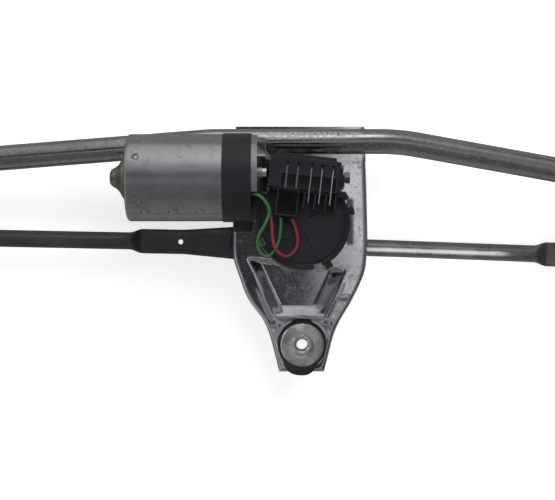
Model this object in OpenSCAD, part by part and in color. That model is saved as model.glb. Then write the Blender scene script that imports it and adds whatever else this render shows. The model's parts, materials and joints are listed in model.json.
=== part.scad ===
// Windshield wiper linkage with its drive motor.
// Millimetres. The origin is the centre of the tail mounting sleeve, on its lower seating face.
// +X runs along the frame tube, +Y from the tail mount to the tube, +Z along the wiper spindles.

/* [Frame] */
// Outside diameter of the frame tube
tube_d = 20; // [18:0.5:22]
// Wall of the frame tube
tube_wall = 1.5; // [1:0.1:2]
// Height of the tube axis above the origin
tube_z = 11; // [10:0.5:12]
// Distance of the tube axis from the tail mount
tube_y = 162; // [160:0.5:165]
// Where the tube starts to bend, on the left and on the right
tube_bend_x = [-66, 62]; // [-80:1:80]
// How far each arm of the tube slopes away from the middle stretch, in degrees
tube_bend_deg = [4.5, 10.2]; // [2:0.1:14]
// Radius of both bends, on the tube axis
tube_bend_r = 170; // [120:5:240]
// Thickness of the pressed bracket
plate_t = 2; // [1.5:0.1:2.5]
// Height of the underside of the bracket
plate_z = 8; // [7:0.5:9]

/* [Linkage] */
// Distance of the motor's output axis from the tail mount
output_y = 96; // [94:0.5:98]
// Crank length, from the output axis to its ball stud
crank_len = 48; // [44:1:50]
// How far below the output axis the parked ball stud sits
crank_drop = 15; // [12:0.5:18]
// Lever length, from the spindle axis to its ball stud
lever_len = 62; // [60:1:64]
// Direction of the parked levers, in degrees
lever_deg = 208; // [204:1:212]
// Left spindle axis
left_pivot = [-322.5, 114.7]; // [-330:0.1:120]
// Right spindle axis
right_pivot = [340.85, 96]; // [90:0.1:350]
// Rod length between ball centres, left and right
rod_len = [330, 333.7]; // [320:0.1:340]
// Direction of each parked rod, in degrees
rod_deg = [178.87, -2.1]; // [-4:0.01:180]
// Outside diameter of the round stretch of a rod
rod_d = 14; // [12:0.5:15]
// Ball diameter of the studs
ball_d = 13; // [12:0.5:14]
// Play round the ball in the socket at a lever
lever_play = 2.7; // [2.6:0.05:2.75]

/* [Motor] */
// Height of the armature axis
motor_z = 47; // [46.5:0.5:49]
// Outside diameter of the steel yoke
yoke_d = 67; // [64:1:68]
// Length of the steel yoke
yoke_len = 73; // [70:1:76]
// Teeth of the worm wheel
wheel_teeth = 60; // [60:1:60]
// Module of the worm and its wheel
gear_module = 1; // [1:0.1:1]
// Diameter of the output shaft
shaft_d = 12; // [11:0.5:13]

/* [Mounts] */
// Bolt hole through every mounting sleeve
sleeve_hole_d = 9; // [8.4:0.1:9.4]
// Diameter of the tail sleeve's flange
tail_flange_d = 34.6; // [30:0.1:36]
// Diameter of the tail grommet
tail_grommet_d = 39; // [36:0.5:40]
// Diameter of the grommets beside the spindles
side_grommet_d = 27; // [25:0.5:28]
// Centre of the left ear, measured from the left spindle
left_ear = [-29, 22]; // [-32:0.5:26]
// Centre of the right ear, measured from the right spindle
right_ear = [30, 20]; // [16:0.5:34]

/* [Hidden] */
$fn = 64;

gap = 0.05;               // running gap between pieces that touch
plate_top = plate_z + plate_t;
tube_r = tube_d / 2;
saddle_r = tube_r + gap;

// Linkage places that follow from the driving sizes
output_axis = [0, output_y];
crank_pin = output_axis + [-sqrt(crank_len * crank_len - crank_drop * crank_drop), -crank_drop];
crank_deg = atan2(-crank_drop, crank_pin.x);
arm_t = 5;                // thickness of the crank arm and of the levers
arm_z = -3;               // underside of the crank arm and of the left lever
ball_z = [arm_z - 9, arm_z - 26];     // ball centre heights, left rod and right rod
right_lever_z = ball_z[1] + 9;
rod_plate_t = 4;          // thickness where a rod is pressed flat
rod_flat_w = 20;          // width where a rod is pressed flat
socket_h = 13;
socket_foot_h = 4;        // closed end below the ball
socket_neck_r = 11.5;     // hole in a rod's eye that holds the socket
rod_eye_r = 14;
stud_r = 3.5;
rivet_h = 1;              // riveted head of a ball stud
rivet_r = 6;
stud_collar_h = 1.5;
thread_r = 4;             // threaded end of the output shaft and of each spindle
arm_neck_r = 5;           // fit of an arm on its shaft

// Motor places
motor_y = output_y + gear_module * (wheel_teeth / 2 + 5);
yoke_r = yoke_d / 2;
yoke_right = -61.5;
yoke_left = yoke_right - yoke_len;
band_right = -40;
pan_z = [motor_z - 10, motor_z + 10];  // outside of the round gear case, bottom and top
pan_r = 34.5;
cover_r = 35.8;
cover_z = pan_z[1] + gap;
cover_t = 3;
cover_skirt = 5;          // how far the cover's lip reaches down round the gear case
cover_top = cover_z + cover_t;
worm_r = 5 * gear_module;
tunnel_r = 9.5;
tunnel_bore_r = 7.5;
flange_x = band_right - 3;
mount_leg_r = 32;
mount_leg_deg = [40, 140, 250];
screw_deg = [355, 175];   // yoke screws round the motor axis, counted from straight up
screw_r = 27.5;
plug_at = [0.75, 133.3];  // centre of the plug block, which sits slightly askew on the cover
plug_deg = -6.4;
plug_h = 15;
// Blocks of the plug housing: corner, size, and how far the top is below the tallest one
plug_blocks = [[[-27, -13], [54, 24], 0], [[-23, -15], [46, 28.5], 3], [[-19, -34], [17, 22], 1]];
fin_x = [1, 9, 17, 24.5]; // thin walls between the long terminal strips
strip_x = [-13.3, -5.2, 5, 13, 21.2];
strip_w = 0.9;
strip_h = 2.6;
raised_deg = [-72, 89];   // raised sector on the cover, start and width
cover_lug_deg = [14, 33, 301];
cover_clip_deg = [289, 205];

// Spindle heights: [bottom of housing boss, top of housing boss, start of the taper]
left_boss = [4, 56, 62];
right_boss = [right_lever_z + arm_t + 2, 46, 52];
spindle_r = 6;
boss_r = 14;
bush_r = 8;

arm_len = [208, 203];     // straight length of each arm of the tube

// Bracket outline, from the top right corner clockwise round the tail
bracket_right = [
    [50, 174], [52.5, 92], [52, 72], [50, 57], [40.5, 36], [30.5, 19], [25.5, 8], [21.8, -6], [18, -21],
];
bracket_left = [
    [-18.5, -21], [-22.5, -5], [-26.5, 9], [-31.5, 20], [-43, 36], [-50.5, 55], [-55, 70], [-55.2, 92],
    [-53, 174],
];
bracket_outline = concat(bracket_right, bracket_left);
pocket = [[34, 55], [17.5, 25], [-22, 25], [-37, 55]];
pocket_depth = 4.5;
rim_h = 5;
bracket_saddle_x = [-53, 50];         // where the bracket cradles the tube
hub_hole_r = 13.5;        // hole in the bracket round the output hub
bolt_r = 3;               // motor mounting bolts
tail_neck_r = tail_grommet_d / 2 - 3; // hole in the bracket for the tail grommet

// ---------- helpers ----------

function polar(r, deg) = [r * cos(deg), r * sin(deg)];

module at(p, z = 0, deg = 0) translate([p.x, p.y, z]) rotate([0, 0, deg]) children();

// A cylinder that runs along +X from x0 to x1 at the motor's axis
module along_x(r, x0, x1, y = motor_y, z = motor_z)
    translate([x0, y, z]) rotate([0, 90, 0]) cylinder(r = r, h = x1 - x0);

module ring_x(ro, ri, x0, x1) difference() {
    along_x(ro, x0, x1);
    along_x(ri, x0 - 1, x1 + 1);
}

module ring(ro, ri, h) difference() {
    cylinder(r = ro, h = h);
    translate([0, 0, -1]) cylinder(r = ri, h = h + 2);
}

// A bar of height h with round ends of radius ra and rb. Its straight sides sit a hair inside the rounds.
module link(a, ra, b, rb, h) {
    dir = atan2(b.y - a.y, b.x - a.x);
    t = acos((ra - rb) / norm(b - a));
    ia = ra - 0.05;
    ib = rb - 0.05;
    at(a) cylinder(r = ra, h = h);
    at(b) cylinder(r = rb, h = h);
    linear_extrude(h) polygon([
        a + polar(ia, dir + t), b + polar(ib, dir + t), b + polar(ib, dir - t), a + polar(ia, dir - t),
    ]);
}

// An arc-shaped slice of a ring, from angle 0 to deg
module ring_sector_2d(ro, ri, deg) intersection() {
    difference() {
        circle(r = ro);
        circle(r = ri);
    }
    polygon([[0, 0], [2 * ro, 0], polar(2 * ro, deg / 2), polar(2 * ro, deg)]);
}

// A smooth curve through the points
function catmull(p0, p1, p2, p3, t) =
    let (a = 2 * p0 - 5 * p1 + 4 * p2 - p3, b = 3 * p1 - p0 - 3 * p2 + p3)
    0.5 * (2 * p1 + (p2 - p0) * t + a * t * t + b * t * t * t);

function smooth_path(points, steps) = [
    for (i = [0 : len(points) - 2], k = [0 : steps - 1])
        let (before = points[max(i - 1, 0)], after = points[min(i + 2, len(points) - 1)])
        catmull(before, points[i], points[i + 1], after, k / steps),
    points[len(points) - 1],
];

// A closed round wire along that curve
module wire(points, r, steps = 6, sides = 10) {
    path = smooth_path(points, steps);
    n = len(path);
    up = [0.05, 0.1, 1];
    rings = [
        for (i = [0 : n - 1])
            let (
                d = path[min(i + 1, n - 1)] - path[max(i - 1, 0)],
                side = cross(d, up) / norm(cross(d, up)),
                top = cross(side, d) / norm(cross(side, d))
            )
            for (k = [0 : sides - 1])
                path[i] + r * (cos(360 * k / sides) * side + sin(360 * k / sides) * top),
    ];
    walls = [
        for (i = [0 : n - 2], k = [0 : sides - 1])
            let (a = i * sides + k, b = i * sides + (k + 1) % sides) [a, b, b + sides, a + sides],
    ];
    ends = [[for (k = [sides - 1 : -1 : 0]) k], [for (k = [0 : sides - 1]) (n - 1) * sides + k]];
    polyhedron(rings, concat(walls, ends));
}

// ---------- frame ----------

// A bar of radius r along the tube's centre line: a middle stretch, two bends and two arms.
// The bends are a hair thinner and the straights run a little way over them, so they join cleanly.
module bent_bar(r, extra) {
    lap = 0.3;
    span = tube_bend_x[1] - tube_bend_x[0];
    translate([tube_bend_x[0] - lap, tube_y, tube_z]) rotate([0, 90, 0]) cylinder(r = r, h = span + 2 * lap);
    for (side = [0, 1]) {
        sgn = side == 0 ? -1 : 1;
        deg = tube_bend_deg[side];
        translate([tube_bend_x[side], tube_y - tube_bend_r, tube_z]) {
            rotate([0, 0, side == 0 ? 90 : 90 - deg])
                rotate_extrude(angle = deg, $fn = 96) translate([tube_bend_r, 0]) circle(r = r - 0.02);
            rotate([0, 0, -sgn * deg]) translate([-sgn * lap, tube_bend_r, 0])
                rotate([0, sgn * 90, 0]) cylinder(r = r, h = arm_len[side] + extra + lap);
        }
    }
}

// Where an arm of the tube is, and which way it runs, a given distance past its bend
function arm_point(side, s) =
    let (sgn = side == 0 ? -1 : 1, deg = tube_bend_deg[side])
    [
        tube_bend_x[side] + sgn * (tube_bend_r * sin(deg) + s * cos(deg)),
        tube_y - tube_bend_r * (1 - cos(deg)) - s * sin(deg),
    ];

module frame_tube() color("#8e9092") difference() {
    bent_bar(tube_r, 0);
    bent_bar(tube_r - tube_wall, 1);
}

function unit(v) = v / norm(v);
function right_of(v) = [v.y, -v.x];

// The open outline moved by t to the right of its direction of travel
function inset(points, t) = [
    for (i = [0 : len(points) - 1])
        let (
            before = right_of(unit(points[max(i, 1)] - points[max(i, 1) - 1])),
            after = right_of(unit(points[min(i + 1, len(points) - 1)] - points[min(i, len(points) - 2)])),
            n = unit(before + after)
        )
        points[i] + n * t / (n * after),
];

function reversed(list) = [for (i = [len(list) - 1 : -1 : 0]) list[i]];

module outline_wall(points, t, z, h) translate([0, 0, z]) linear_extrude(h)
    polygon(concat(points, reversed(inset(points, t))));

module through_plate() translate([0, 0, -plate_z]) children();

module motor_bracket() color("#a4a6a8") difference() {
    union() {
        translate([0, 0, plate_z]) linear_extrude(plate_t) polygon(bracket_outline);
        outline_wall(bracket_right, plate_t, plate_top - rim_h, rim_h);
        outline_wall(bracket_left, plate_t, plate_top - rim_h, rim_h);
        translate([0, 0, plate_z - pocket_depth]) linear_extrude(pocket_depth + plate_t) polygon(pocket);
        translate([bracket_saddle_x[0], tube_y, tube_z]) rotate([0, 90, 0])
            cylinder(r = saddle_r + plate_t, h = bracket_saddle_x[1] - bracket_saddle_x[0]);
    }
    translate([0, 0, plate_top - pocket_depth]) linear_extrude(pocket_depth + 1)
        polygon([for (p = pocket) [p.x * 0.94, 40 + (p.y - 40) * 0.87]]);
    translate([-tube_y / 2, tube_y, tube_z]) rotate([0, 90, 0]) cylinder(r = saddle_r, h = tube_y);
    translate([-tube_y / 2, tube_y - tube_d, plate_top]) cube([tube_y, 2 * tube_d, tube_d]);
    through_plate() cylinder(r = tail_neck_r, h = 4 * plate_z);
    at(output_axis) through_plate() cylinder(r = hub_hole_r, h = 4 * plate_z);
    leg_places() through_plate() cylinder(r = bolt_r + 0.3, h = 4 * plate_z);
}

// A rubber ring with a groove for a sheet of thickness t at height z
module grommet(r, neck_r, hole_r, h, z, t) color("#1c1c1e") difference() {
    union() {
        cylinder(r1 = r - 2, r2 = r, h = 2);
        translate([0, 0, 2]) cylinder(r = r, h = z - gap - 2);
        cylinder(r = neck_r - gap, h = h);
        translate([0, 0, z + t + gap]) cylinder(r = r, h = h - z - t - gap - 1.5);
        translate([0, 0, h - 1.5]) cylinder(r1 = r, r2 = r - 1.5, h = 1.5);
    }
    translate([0, 0, -1]) cylinder(r = hole_r + gap, h = h + 2);
}

// A steel sleeve with a turned flange on top
module sleeve(flange_r, body_r, hole_r, h, flange_t) color("#c9c6bd") difference() {
    union() {
        cylinder(r = body_r, h = h);
        translate([0, 0, h]) cylinder(r = flange_r, h = flange_t * 0.6);
        translate([0, 0, h + flange_t * 0.6])
            cylinder(r1 = flange_r, r2 = flange_r - 1.2, h = flange_t * 0.4);
        translate([0, 0, h + flange_t]) cylinder(r1 = body_r + 1.6, r2 = body_r, h = 0.8);
    }
    translate([0, 0, -1]) cylinder(r = hole_r, h = h + flange_t + 3);
    translate([0, 0, h + flange_t - 0.4]) cylinder(r1 = hole_r, r2 = hole_r + 2, h = 1.3);
}

sleeve_body_r = 6.4;
tail_h = 15;
module tail_grommet() translate([0, 0, 0.5])
    grommet(tail_grommet_d / 2, tail_neck_r, sleeve_body_r, tail_h - 0.6, plate_z - 0.5, plate_t);
module tail_sleeve() sleeve(tail_flange_d / 2, sleeve_body_r, sleeve_hole_d / 2, tail_h, 2);

ear_z = 8;
ear_t = 5;
side_h = 15;
side_sleeve_z = 3;
side_neck_r = 11;
ears = [left_pivot + left_ear, right_pivot + right_ear];
module side_grommets() for (p = ears) at(p, side_sleeve_z + 0.5)
    grommet(side_grommet_d / 2, side_neck_r, sleeve_body_r, side_h - 0.6, ear_z - side_sleeve_z - 0.5, ear_t);
module side_sleeves() for (p = ears) at(p, side_sleeve_z)
    sleeve(12, sleeve_body_r, sleeve_hole_d / 2, side_h, 2);

// A cast spindle housing: a spigot in the tube, a collar, a webbed arm, the spindle boss and the mounting ear
module pivot_housing(side, pivot, ear, boss) color("#9a9c9e") {
    tip = arm_point(side, arm_len[side]);
    sgn = side == 0 ? -1 : 1;
    arm_dir = side == 0 ? 180 + tube_bend_deg[0] : -tube_bend_deg[1];
    knee = tip + polar(13, arm_dir);
    spigot_r = tube_r - tube_wall - gap;
    difference() {
        union() {
            at(tip, tube_z, arm_dir) {
                translate([-28, 0, 0]) rotate([0, 90, 0]) cylinder(r = spigot_r, h = 32);
                translate([gap, 0, 0]) rotate([0, 90, 0]) cylinder(r = tube_r + 1, h = 8);
            }
            translate([0, 0, tube_z - 7]) link(knee, 10.5, pivot, boss_r - 1, 14);
            translate([0, 0, ear_z]) link(pivot, boss_r - 2, ear, side_neck_r + 5, ear_t);
            translate([0, 0, tube_z - 7]) linear_extrude(18) rib_2d(pivot, ear, 5, boss_r, side_neck_r + 3);
            at(pivot, boss[0]) cylinder(r = boss_r, h = boss[1] - boss[0] - 12);
            at(pivot, boss[1] - 12) cylinder(r1 = boss_r, r2 = boss_r - 2.5, h = 12);
            translate([0, 0, tube_z + 7]) linear_extrude(16) rib_2d(pivot, knee, 5, boss_r - 3, -4);
        }
        at(pivot, boss[0] - 1) cylinder(r = bush_r, h = boss[1] - boss[0] + 2);
        at(pivot, boss[1] - 3) cylinder(r = 9.5, h = 4);
        at(ear, -1) cylinder(r = side_neck_r, h = 40);
    }
}

// A straight rib of width w between two bosses, starting ra from a and ending rb short of b
module rib_2d(a, b, w, ra, rb) {
    d = (b - a) / norm(b - a);
    n = [-d.y, d.x] * w / 2;
    s = a + d * (ra - 4);
    e = b - d * rb;
    polygon([s + n, e + n, e - n, s - n]);
}

module left_pivot_housing() pivot_housing(0, left_pivot, ears[0], left_boss);
module right_pivot_housing() pivot_housing(1, right_pivot, ears[1], right_boss);

bush_len = 12;
module spindle_bushes() color("#b08d57")
    for (s = [[left_pivot, left_boss], [right_pivot, right_boss]], top = [0, 1])
        at(s[0], top == 0 ? s[1][0] : s[1][1] - 3 - bush_len) ring(bush_r, spindle_r + gap, bush_len);

module spindle_seals() color("#1c1c1e")
    for (s = [[left_pivot, left_boss], [right_pivot, right_boss]])
        at(s[0], s[1][1] - 3 + gap) ring(9.4, spindle_r + gap, 3.4);

// ---------- linkage ----------

// A flat arm from the origin to [len, 0], with a bore at the origin and a stud hole at the far end
arm_hub_r = 13;
arm_tip_r = 10;
module flat_arm(len) difference() {
    link([0, 0], arm_hub_r, [len, 0], arm_tip_r, arm_t);
    translate([0, 0, -1]) cylinder(r = arm_neck_r, h = arm_t + 2);
    translate([len, 0, -1]) cylinder(r = stud_r + 0.02, h = arm_t + 2);
}

module crank_arm() color("#6f7173") at(output_axis, arm_z, crank_deg) flat_arm(crank_len);
module left_lever() color("#86888a") at(left_pivot, arm_z, lever_deg) flat_arm(lever_len);
module right_lever() color("#86888a") at(right_pivot, right_lever_z, lever_deg) flat_arm(lever_len);

// A riveted ball stud that hangs from an arm at height 0: balls is a list of ball centre heights
module ball_stud(balls) color("#b9bbbd") {
    low = balls[len(balls) - 1];
    translate([0, 0, arm_t]) cylinder(r1 = rivet_r, r2 = rivet_r - 1.2, h = rivet_h);
    translate([0, 0, low]) cylinder(r = stud_r, h = arm_t - low + 0.1);
    translate([0, 0, -stud_collar_h]) cylinder(r = rivet_r + 0.3, h = stud_collar_h);
    for (b = balls) translate([0, 0, b]) sphere(d = ball_d);
}

module crank_ball_stud() at(crank_pin, arm_z) ball_stud([for (z = ball_z) z - arm_z]);
module left_ball_stud() at(left_pivot + polar(lever_len, lever_deg), arm_z) ball_stud([ball_z[0] - arm_z]);
module right_ball_stud() at(right_pivot + polar(lever_len, lever_deg), right_lever_z)
    ball_stud([ball_z[1] - right_lever_z]);

nut_h = 7;
nut_collar_h = 1.5;
module crank_nut() color("#b9bbbd") at(output_axis, arm_z - nut_h - nut_collar_h) {
    difference() {
        cylinder(d = 15, h = nut_h, $fn = 6);
        translate([0, 0, -1]) cylinder(r = thread_r + gap, h = nut_h + 2);
    }
    translate([0, 0, nut_h]) ring(9, thread_r + gap, nut_collar_h - gap);
}

// A spindle from its lever to the threaded tip for the wiper arm
taper_h = 9;
thread_h = 14;
clip_r = 9;
clip_t = 1.2;
groove_depth = 0.8;
module spindle(lever_z, boss) color("#c4c6c8") {
    taper_z = boss[2];
    groove_z = boss[1] + 1;
    translate([0, 0, lever_z - 1.5]) cylinder(r = 7, h = 1.5);
    translate([0, 0, lever_z - 0.1]) cylinder(r = arm_neck_r, h = arm_t + 0.2);
    difference() {
        translate([0, 0, lever_z + arm_t]) cylinder(r = spindle_r, h = taper_z - lever_z - arm_t);
        translate([0, 0, groove_z]) ring(spindle_r + 1, spindle_r - groove_depth, clip_t + 2 * gap);
    }
    translate([0, 0, taper_z]) cylinder(r1 = spindle_r, r2 = spindle_r - 1, h = taper_h);
    translate([0, 0, taper_z + taper_h]) cylinder(r = thread_r, h = thread_h);
    translate([0, 0, taper_z + taper_h + thread_h]) cylinder(r1 = thread_r, r2 = thread_r - 1, h = 1);
}

module left_spindle() at(left_pivot) spindle(arm_z, left_boss);
module right_spindle() at(right_pivot) spindle(right_lever_z, right_boss);

// An open spring clip for a shaft of radius r
module open_clip(r, t) difference() {
    ring(clip_r, r - groove_depth + gap, t);
    translate([0, -2, -1]) cube([clip_r + 3, 4, t + 2]);
}

module spindle_clip(boss) color("#4a4c4e") translate([0, 0, boss[1] + 1 + gap]) open_clip(spindle_r, clip_t);

// The washer between the lever and the housing
washer_r = 11;
module thrust_washer(boss) color("#d8d2bd") translate([0, 0, boss[0] - 1.8])
    ring(washer_r, spindle_r + gap, 1.7);

module left_spindle_clip() at(left_pivot) spindle_clip(left_boss);
module right_spindle_clip() at(right_pivot) spindle_clip(right_boss);
module left_thrust_washer() at(left_pivot) thrust_washer(left_boss);
module right_thrust_washer() at(right_pivot) thrust_washer(right_boss);

// A rod made of tube that is pressed flat at both ends. It runs along +X, crank ball to lever ball.
flat_end = 84;            // where the flat stretch stops, from the ball
round_start = 95;         // where the full round starts, from the ball
rod_wall = 1.5;
eye_end = 50;             // where the eye's taper meets the flat stretch, from the ball
peg_hole_x = 53;          // small hole in the flat stretch, from the ball
peg_hole_r = 2;
drain_hole_r = 1.5;       // hole in the underside, where the full round starts
module rod_round(r, x0, x1) translate([x0, 0, 0]) rotate([0, 90, 0]) cylinder(r = r, h = x1 - x0);

module rod(len) color("#3a3b3d") difference() {
    union() {
        rod_round(rod_d / 2, round_start, len - round_start);
        for (end = [0, 1]) translate([end * len, 0, 0]) rotate([0, 0, end * 180]) {
            hull() {
                translate([flat_end, -rod_flat_w / 2, -rod_plate_t / 2]) cube([0.1, rod_flat_w, rod_plate_t]);
                translate([round_start, 0, 0]) rotate([0, 90, 0]) cylinder(r = rod_d / 2, h = 0.1, $fn = 32);
            }
            translate([0, 0, -rod_plate_t / 2]) {
                link([0, 0], rod_eye_r, [eye_end, 0], rod_flat_w / 2, rod_plate_t);
                translate([eye_end, -rod_flat_w / 2, 0])
                    cube([flat_end - eye_end + 0.1, rod_flat_w, rod_plate_t]);
            }
        }
    }
    rod_round(rod_d / 2 - rod_wall, round_start + 1, len - round_start - 1);
    for (x = [0, len]) translate([x, 0, -rod_d / 2]) cylinder(r = socket_neck_r, h = rod_d);
    translate([peg_hole_x, 0, -rod_d / 2]) cylinder(r = peg_hole_r, h = rod_d);
    translate([round_start + 8, 0, -rod_d]) cylinder(r = drain_hole_r, h = rod_d);
}

// A moulded ball socket that snaps into a rod's eye. through: the stud goes on below it.
module ball_socket(clear, mouth_r, through) color("#141416") {
    neck_h = rod_plate_t / 2 + gap;
    side_h = socket_h / 2 - neck_h;
    difference() {
        union() {
            translate([0, 0, -neck_h - 0.5]) cylinder(r = socket_neck_r - gap, h = 2 * neck_h + 1);
            translate([0, 0, neck_h]) cylinder(r1 = socket_neck_r + 1.5, r2 = socket_neck_r, h = side_h);
            translate([0, 0, -socket_h / 2]) cylinder(r1 = socket_neck_r, r2 = socket_neck_r + 1, h = side_h);
            if (!through) translate([0, 0, -socket_h / 2 - socket_foot_h])
                cylinder(r1 = 7, r2 = socket_neck_r, h = socket_foot_h);
        }
        sphere(r = ball_d / 2 + clear);
        cylinder(r = mouth_r, h = socket_h);
        if (through) translate([0, 0, -socket_h]) cylinder(r = mouth_r, h = socket_h);
    }
}

module on_rod(side, from_crank) at(crank_pin, ball_z[side], rod_deg[side])
    translate([from_crank, 0, 0]) children();
module left_rod() on_rod(0, 0) rod(rod_len[0]);
module right_rod() on_rod(1, 0) rod(rod_len[1]);
module left_rod_crank_socket() on_rod(0, 0) ball_socket(gap, stud_r + 1, true);
module right_rod_crank_socket() on_rod(1, 0) ball_socket(gap, stud_r + 1, false);
module left_rod_lever_socket() on_rod(0, rod_len[0]) ball_socket(lever_play, stud_r + lever_play, false);
module right_rod_lever_socket() on_rod(1, rod_len[1]) ball_socket(lever_play, stud_r + lever_play, false);

// ---------- gear case and output ----------

hub_z = 6;                // underside of the output hub
hub_r = 12;
pan_wall = 2.5;
rib_t = 2;                // cooling ribs on the motor end of the case
screw_boss_r = 4.2;
screw_head_r = 3.6;
screw_body_r = 2;
armature_r = 4;           // armature shaft
bearing_r = 9;            // front ball bearing
bearing_x = [-31, -24];
tunnel_end = 31;          // right end of the worm tunnel
rim_deg = [212, 71];      // where the case shows a rim beside the cover, start and width
rim_r = pan_r + 2.2;
module leg_places() for (deg = mount_leg_deg) at(output_axis + polar(mount_leg_r, deg)) children();

// Places round the motor axis, for things that run along it
module screw_places(x) for (deg = screw_deg) translate([x, motor_y, motor_z]) rotate([deg, 0, 0])
    translate([0, 0, screw_r]) rotate([0, 90, 0]) children();

module gear_housing() color("#b4b6b8") difference() {
    union() {
        at(output_axis, pan_z[0]) cylinder(r = pan_r, h = pan_z[1] - pan_z[0]);
        at(output_axis, hub_z) cylinder(r = hub_r, h = pan_z[0] - hub_z + 1);
        at(output_axis, pan_z[0] + 1, rim_deg[0]) linear_extrude(cover_z - cover_skirt - pan_z[0] - 1 - gap)
            ring_sector_2d(rim_r, pan_r - 1, rim_deg[1]);
        leg_places() translate([0, 0, plate_top + gap]) cylinder(r1 = 6, r2 = 7.5, h = pan_z[0] - plate_top);
        for (deg = [0 : 60 : 300]) at(output_axis, pan_z[0] - 8, deg)
            translate([10, -1.2, 0]) cube([22, 2.4, 9]);
        along_x(tunnel_r, band_right, tunnel_end);
        along_x(tunnel_r + 2, tunnel_end - 8, tunnel_end - 2);
        along_x(flange_r, flange_x, band_right + 5);
        translate([band_right + 5, motor_y, motor_z]) rotate([0, 90, 0])
            cylinder(r1 = yoke_r - 3, r2 = 17, h = 10);
        for (deg = [30 : 30 : 330]) translate([band_right + 4, motor_y, motor_z]) rotate([deg, 0, 0])
            translate([0, -rib_t / 2, 12]) cube([7, rib_t, 19]);
        screw_places(band_right) cylinder(r = screw_boss_r, h = 9);
    }
    at(output_axis, pan_z[0] + pan_wall) cylinder(r = pan_r - pan_wall - 0.1, h = 40);
    at(output_axis, 0) cylinder(r = bush_r, h = 50);
    leg_places() cylinder(r = bolt_r, h = 26);
    along_x(tunnel_bore_r, flange_x - 1, tunnel_end - 12);
    along_x(bearing_r, bearing_x[0] - 1, bearing_x[1]);
    along_x(yoke_r - 4, flange_x - 1, band_right + 2);
    along_x(armature_r, tunnel_end - 19, tunnel_end + 21);
    screw_places(flange_x - 2) cylinder(r = screw_body_r + gap, h = 20);
    screw_places(band_right + 9) cylinder(r = screw_head_r + 1, h = 20);
    at(output_axis, cover_z) cylinder(r = cover_r + 1, h = 60);
    translate([flange_x - 1, 60, cover_z]) cube([30, 59, 60]);
    on_plug() translate([-27.5, -15.5, -2]) cube([60, 40, 60]);
}

module output_bush() color("#b08d57") at(output_axis, hub_z) ring(bush_r, shaft_d / 2 + gap, 31);

module motor_mount_bolts() color("#c9c6bd") leg_places() translate([0, 0, plate_z - 4.3]) {
    cylinder(d = 11, h = 3, $fn = 6);
    translate([0, 0, 3]) cylinder(r = 6.2, h = 1.3 - gap);
    cylinder(r = bolt_r - gap, h = 20);
}

// Worm wheel teeth as one closed outline. Half a tooth is given as [radius, half width], for module 1.
half_tooth = [[28.7, 1.1], [30, 0.575], [30.8, 0.175]];
function tooth_points(n, m) = [
    for (i = [0 : n - 1], side = [-1, 1], j = [0 : 2])
        let (k = half_tooth[side < 0 ? j : 2 - j], a = 360 * i / n + side * k[1] / k[0] * 180 / PI)
        polar(k[0] * m, a),
];

wheel_t = 12;
module worm_wheel() color("#d8d2bd")
    at(output_axis, motor_z - wheel_t / 2, 90 + 180 / wheel_teeth) difference() {
        linear_extrude(wheel_t) polygon(tooth_points(wheel_teeth, gear_module));
        translate([0, 0, -1]) cylinder(r = shaft_d / 2, h = wheel_t + 2);
        translate([0, 0, wheel_t - 4]) ring(25, 11, 5);
        for (a = [0 : 60 : 300]) rotate([0, 0, a]) translate([18, 0, -1]) cylinder(r = 4, h = wheel_t + 2);
    }

module output_shaft() color("#c4c6c8") at(output_axis) difference() {
    union() {
        translate([0, 0, arm_z + arm_t]) cylinder(r = shaft_d / 2, h = motor_z + wheel_t / 2 - arm_z - arm_t);
        translate([0, 0, arm_z]) cylinder(r = arm_neck_r, h = arm_t + 0.1);
        translate([0, 0, arm_z - 10]) cylinder(r = thread_r, h = 10.1);
    }
    translate([0, 0, hub_z - 2.6]) ring(shaft_d / 2 + 1, shaft_d / 2 - groove_depth, 1.1);
}

// The spring clip and washer that hold the output shaft up in its hub
module output_clip() color("#4a4c4e") at(output_axis, hub_z - 2.55) open_clip(shaft_d / 2, 1);

module output_washer() color("#d8d2bd") at(output_axis, hub_z - 1.45) ring(washer_r, shaft_d / 2 + gap, 1.4);

module park_contact_disc() color("#b5713c") at(output_axis, motor_z + wheel_t / 2) difference() {
    ring(22, 7, 0.6);
    rotate([0, 0, 30]) translate([0, 0, -1]) linear_extrude(3) ring_sector_2d(20, 16, 40);
}

// Things that sit square to the plug block: local x and y from its centre, z from the cover's top
module on_plug() at(plug_at, cover_top, plug_deg) children();

module gear_cover() color("#1b1c1e") difference() {
    union() {
        at(output_axis, cover_z) cylinder(r = cover_r, h = cover_t);
        at(output_axis, cover_z - cover_skirt) ring(cover_r, pan_r + gap, cover_skirt + 0.1);
        at(output_axis, cover_top) ring(cover_r - 0.8, cover_r - 2.2, 0.8);
        at(output_axis, cover_top - 0.1, raised_deg[0]) linear_extrude(1.6)
            ring_sector_2d(cover_r - 4, 3, raised_deg[1]);
        for (deg = cover_lug_deg) at(output_axis, cover_z - cover_skirt, deg)
            translate([cover_r - 1, -3, 0]) cube([5, 6, cover_skirt + 2.6]);
        on_plug() {
            for (b = plug_blocks) translate([b[0].x, b[0].y, -0.1]) cube([b[1].x, b[1].y, plug_h - b[2]]);
            for (x = fin_x) translate([x, -27, -0.1]) cube([1.8, 15, plug_h - 3]);
        }
    }
    on_plug() {
        translate([-17, -12, plug_h - 7]) cube([41, 10, 12]);
        translate([23.5, 7.5, plug_h - 6]) cube([10, 10, 12]);
        for (i = [0 : 4]) strip(i, strip_w + 0.5, strip_h + 0.6, -3);
    }
    translate([-50, output_y, cover_z - 10]) cube([100, 60, 10]);
}

// A terminal strip of width w and height h, whose top stands above the plug block by rise
module strip(i, w, h, rise) {
    y0 = i < 2 ? -13 : -22.3;
    translate([strip_x[i] - w / 2, y0 - (w - strip_w) / 2, plug_h - 0.1 + rise])
        cube([w, 4.4 - y0 + w - strip_w, h]);
}

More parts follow.
